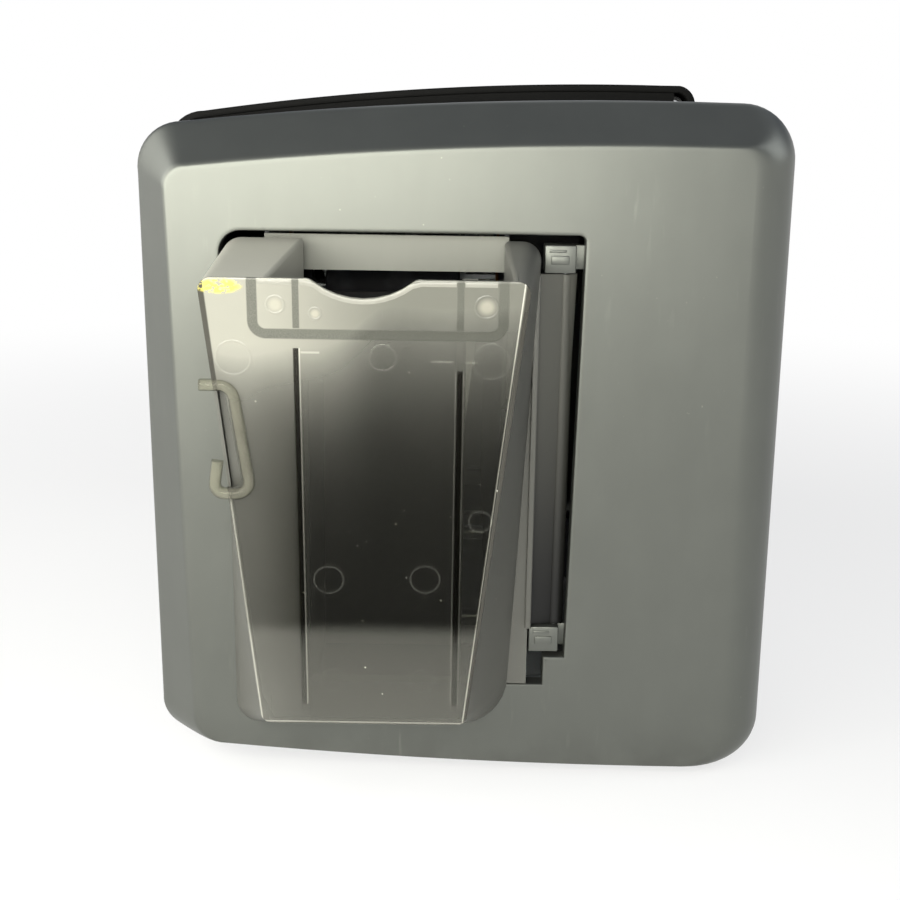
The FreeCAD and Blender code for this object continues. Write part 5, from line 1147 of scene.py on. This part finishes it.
def display_glass():
    """The display's window: glossy, near black round its edge, with the unlit panel's grey green cells
    behind it."""
    finish = Finish("display glass", roughness=0.08, specular=0.6, coat_weight=0.6)
    middle_x, half_length, middle_z, half_height = 55, 24, 200, 6.2
    edge = (abs(finish.x - middle_x) - half_length).most(abs(finish.z - middle_z) - half_height)
    cells = (finish.x * 2.6).sine().fade(0.7, 0.95) * 0.25
    panel = finish.blend(tone(88, 100, 74), tone(74, 86, 62), cells)
    paint = finish.blend(panel, tone(12, 13, 14), edge.fade(-0.4, 0.4))
    finish.coat(paint, finish.noise(16, 3).fade(0.5, 0.8) * 0.1 + 0.06)
    return finish.material


RIBBON = ribbon_dye()
BOARD = circuit_board()
DISPLAY = display_glass()

wound_ribbon(-1, "supply_ribbon", "supply_spool")
wound_ribbon(1, "take_up_ribbon", "take_up_spool")

for node, body, slot, finish, width in (
        ("display_window", "housing", "smoked_window", DISPLAY, 0.4),
        ("display_board", "housing", "board_green", BOARD, 0.2),
        ("connector_plate", "housing", "sheet_steel", SHEET_STEEL, 0.2),
        ("power_inlet", "housing", "black_plastic", BLACK, 0.4),
        ("data_ports", "housing", "steel", SHEET_STEEL, 0.25),
        ("power_switch_frame", "housing", "black_plastic", BLACK, 0.4),
        ("power_rocker", "power_rocker", "black_plastic", BLACK, 0.3),
        ("fan_frame", "housing", "black_plastic", BLACK, 0.3),
        ("fan_rotor", "fan_rotor", "black_plastic", BLACK, 0.2),
        ("stepper_motors", "housing", "black_plastic", BLACK, 0.8)):
    softened(node, body, finish, width)


def paint_nodes(material, slot, *nodes):
    """Give CAD nodes a finish in place of the plain one they were packed with."""
    for node in nodes:
        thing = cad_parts[node]
        for holder in thing.material_slots:
            holder.material = material
        if not thing.material_slots:
            thing.data.materials.append(material)


paint_nodes(STEEL, "steel", "hopper_hinge_pins", "lid_hinge_pins", "tie_rods", "ribbon_guide_bars",
            "head_pivot_shaft", "feed_motor_pinion", "ribbon_motor_pinion", "housing_screws", "pick_motor")
paint_nodes(SHEET_STEEL, "sheet_steel", "base_pan", "head_bracket", "card_lift_plate",
            "card_guide_plates", "power_supply")
paint_nodes(FRAME_STEEL, "sheet_steel", "front_frame_plate", "rear_frame_plate")
paint_nodes(PAINTED, "sheet_steel", "card_slot_plates")
paint_nodes(BRONZE, "bush_bronze", "roller_bushes")
paint_nodes(GEAR, "gear_plastic", "platen_gear", "take_up_gear")
paint_nodes(ROLLER_RUBBER, "roller_rubber", "feed_belts")
paint_nodes(BLACK, "black_plastic", "supply_spool", "take_up_spool", "card_trays", "print_head")
paint_nodes(ALUMINIUM, "heat_sink_aluminium", "head_heat_sink")
paint_nodes(RIBBON, "ribbon_dye", "ribbon_film")
paint_nodes(BOARD, "board_green", "control_board")


# Floor, surroundings, lamps and camera

AMBIENT = 0.34
WHITE = (1.0, 1.0, 1.0, 1.0)
OVERHEAD = (0.042, 0.067, 0.135, 1.0)
FLOOR_GLOW = 0.72
FLOOR_HEIGHT = -0.05
FLOOR_REACH = 8000.0


def floor_finish():
    """A plain pale floor: it keeps the machine's soft shadow near by, and far off, as the camera, gloss
    and glass see it, it turns into the white of the surroundings."""
    finish = Finish("pale floor", specular=0.1, roughness=0.9)
    cloud = finish.noise(420, 2)
    finish.coat(finish.blend(tone(246, 246, 245), tone(250, 250, 249), cloud))
    white = finish.node("ShaderNodeEmission", {}, {"Color": WHITE, "Strength": 1.0})
    rays = finish.node("ShaderNodeLightPath").outputs
    seen = Value(finish, rays["Is Camera Ray"])
    for kind in ("Is Glossy Ray", "Is Transmission Ray"):
        seen = seen.most(Value(finish, rays[kind]))
    away = (finish.x ** 2 + finish.y ** 2) ** 0.5
    glow = seen * (away.fade(250, 1100) * (1 - FLOOR_GLOW) + FLOOR_GLOW)
    finish.show(glow, finish.shader, white)
    return finish.material


def floor():
    """A wide floor just under the feet."""
    shell = Shell()
    steps = np.linspace(-FLOOR_REACH, FLOOR_REACH, 9)
    across, along = np.meshgrid(steps, steps)
    shell.grid(np.stack([across, along, np.full_like(across, FLOOR_HEIGHT)], -1), closed=False)
    mesh = bpy.data.meshes.new("floor")
    mesh.from_pydata((np.concatenate(shell.points) * MM).tolist(), [], shell.faces)
    mesh.materials.append(floor_finish())
    in_scene("floor", mesh)


def surroundings():
    """White all round at the height of the eye, dim and bluish overhead, as a room with its ceiling
    lamps off. What it gives to matt surfaces is less, so that the lamps shape them."""
    world = bpy.data.worlds.new("studio")
    bpy.context.scene.world = world
    nodes = Tree(world)
    way = nodes.node("ShaderNodeTexCoord").outputs["Generated"]
    split = nodes.node("ShaderNodeSeparateXYZ", {}, {0: way})
    height = nodes.node("ShaderNodeValToRGB", {}, {0: split.outputs["Z"]})
    height.color_ramp.interpolation = "EASE"
    set_stops(height.color_ramp, [(0.06, WHITE), (0.5, OVERHEAD)])
    matt = nodes.node("ShaderNodeLightPath").outputs["Is Diffuse Ray"]
    given = nodes.node("ShaderNodeMapRange", {}, {"Value": matt, "To Min": 1.0, "To Max": AMBIENT})
    shown = world.node_tree.nodes["Background"].inputs
    nodes.feed(shown["Color"], height.outputs[0])
    nodes.feed(shown["Strength"], given.outputs[0])


def placed(name, data, place, turn):
    """A lamp or camera at a place in metres, turned by a quaternion."""
    thing = in_scene(name, data)
    thing.rotation_mode = "QUATERNION"
    thing.rotation_quaternion = turn
    thing.location = place
    return thing


def lamp(name, place, aim, size, power, colour):
    """A soft rectangular lamp at a place, turned to a point it aims at, both in metres."""
    data = bpy.data.lights.new(name, "AREA")
    data.shape = "RECTANGLE"
    data.size, data.size_y = size
    data.energy = power
    data.color = colour
    turn = (Vector(aim) - Vector(place)).to_track_quat("-Z", "Y")
    placed(name, data, place, turn).visible_camera = False


LENS = 57.8
CAMERA_PLACE = (0.7045, -0.0040, 0.2635)
CAMERA_PITCH = 13.7
CAMERA_ROLL = 0.9


def camera():
    """The camera at the photograph's place: it looks along -X at the output end, pitched down and
    turned a little about its own axis."""
    data = bpy.data.cameras.new("camera")
    data.sensor_width = 36.0
    data.lens = LENS
    data.clip_start, data.clip_end = 0.01, 50.0
    pitch = math.radians(CAMERA_PITCH)
    turn = Matrix(((0, -math.sin(pitch), math.cos(pitch)),
                   (1, 0, 0),
                   (0, math.cos(pitch), math.sin(pitch))))
    turn = turn @ Matrix.Rotation(math.radians(CAMERA_ROLL), 3, "Z")
    bpy.context.scene.camera = placed("camera", data, CAMERA_PLACE, turn.to_quaternion())


floor()
surroundings()
lamp("key", (0.6, -0.21, 0.272), (0.17, -0.08, 0.22), (0.6, 0.24), 4.0, (1.0, 0.985, 0.89))
lamp("crease", (0.64, -0.05, 0.44), (0.17, 0.0, 0.245), (0.7, 0.05), 0.8, (1.0, 1.0, 0.96))
lamp("side", (0.35, -0.9, 0.6), (0.19, -0.05, 0.18), (0.9, 0.9), 10.0, (1.0, 0.99, 0.95))
lamp("right", (0.30, 0.85, 0.75), (0.19, 0.0, 0.2), (0.6, 0.6), 3.0, (0.96, 0.98, 1.0))
lamp("back", (-0.9, 0.3, 1.3), (0.0, 0.0, 0.1), (1.2, 1.2), 3.0, (1.0, 1.0, 1.0))
camera()
bpy.context.scene.view_settings.view_transform = "Standard"
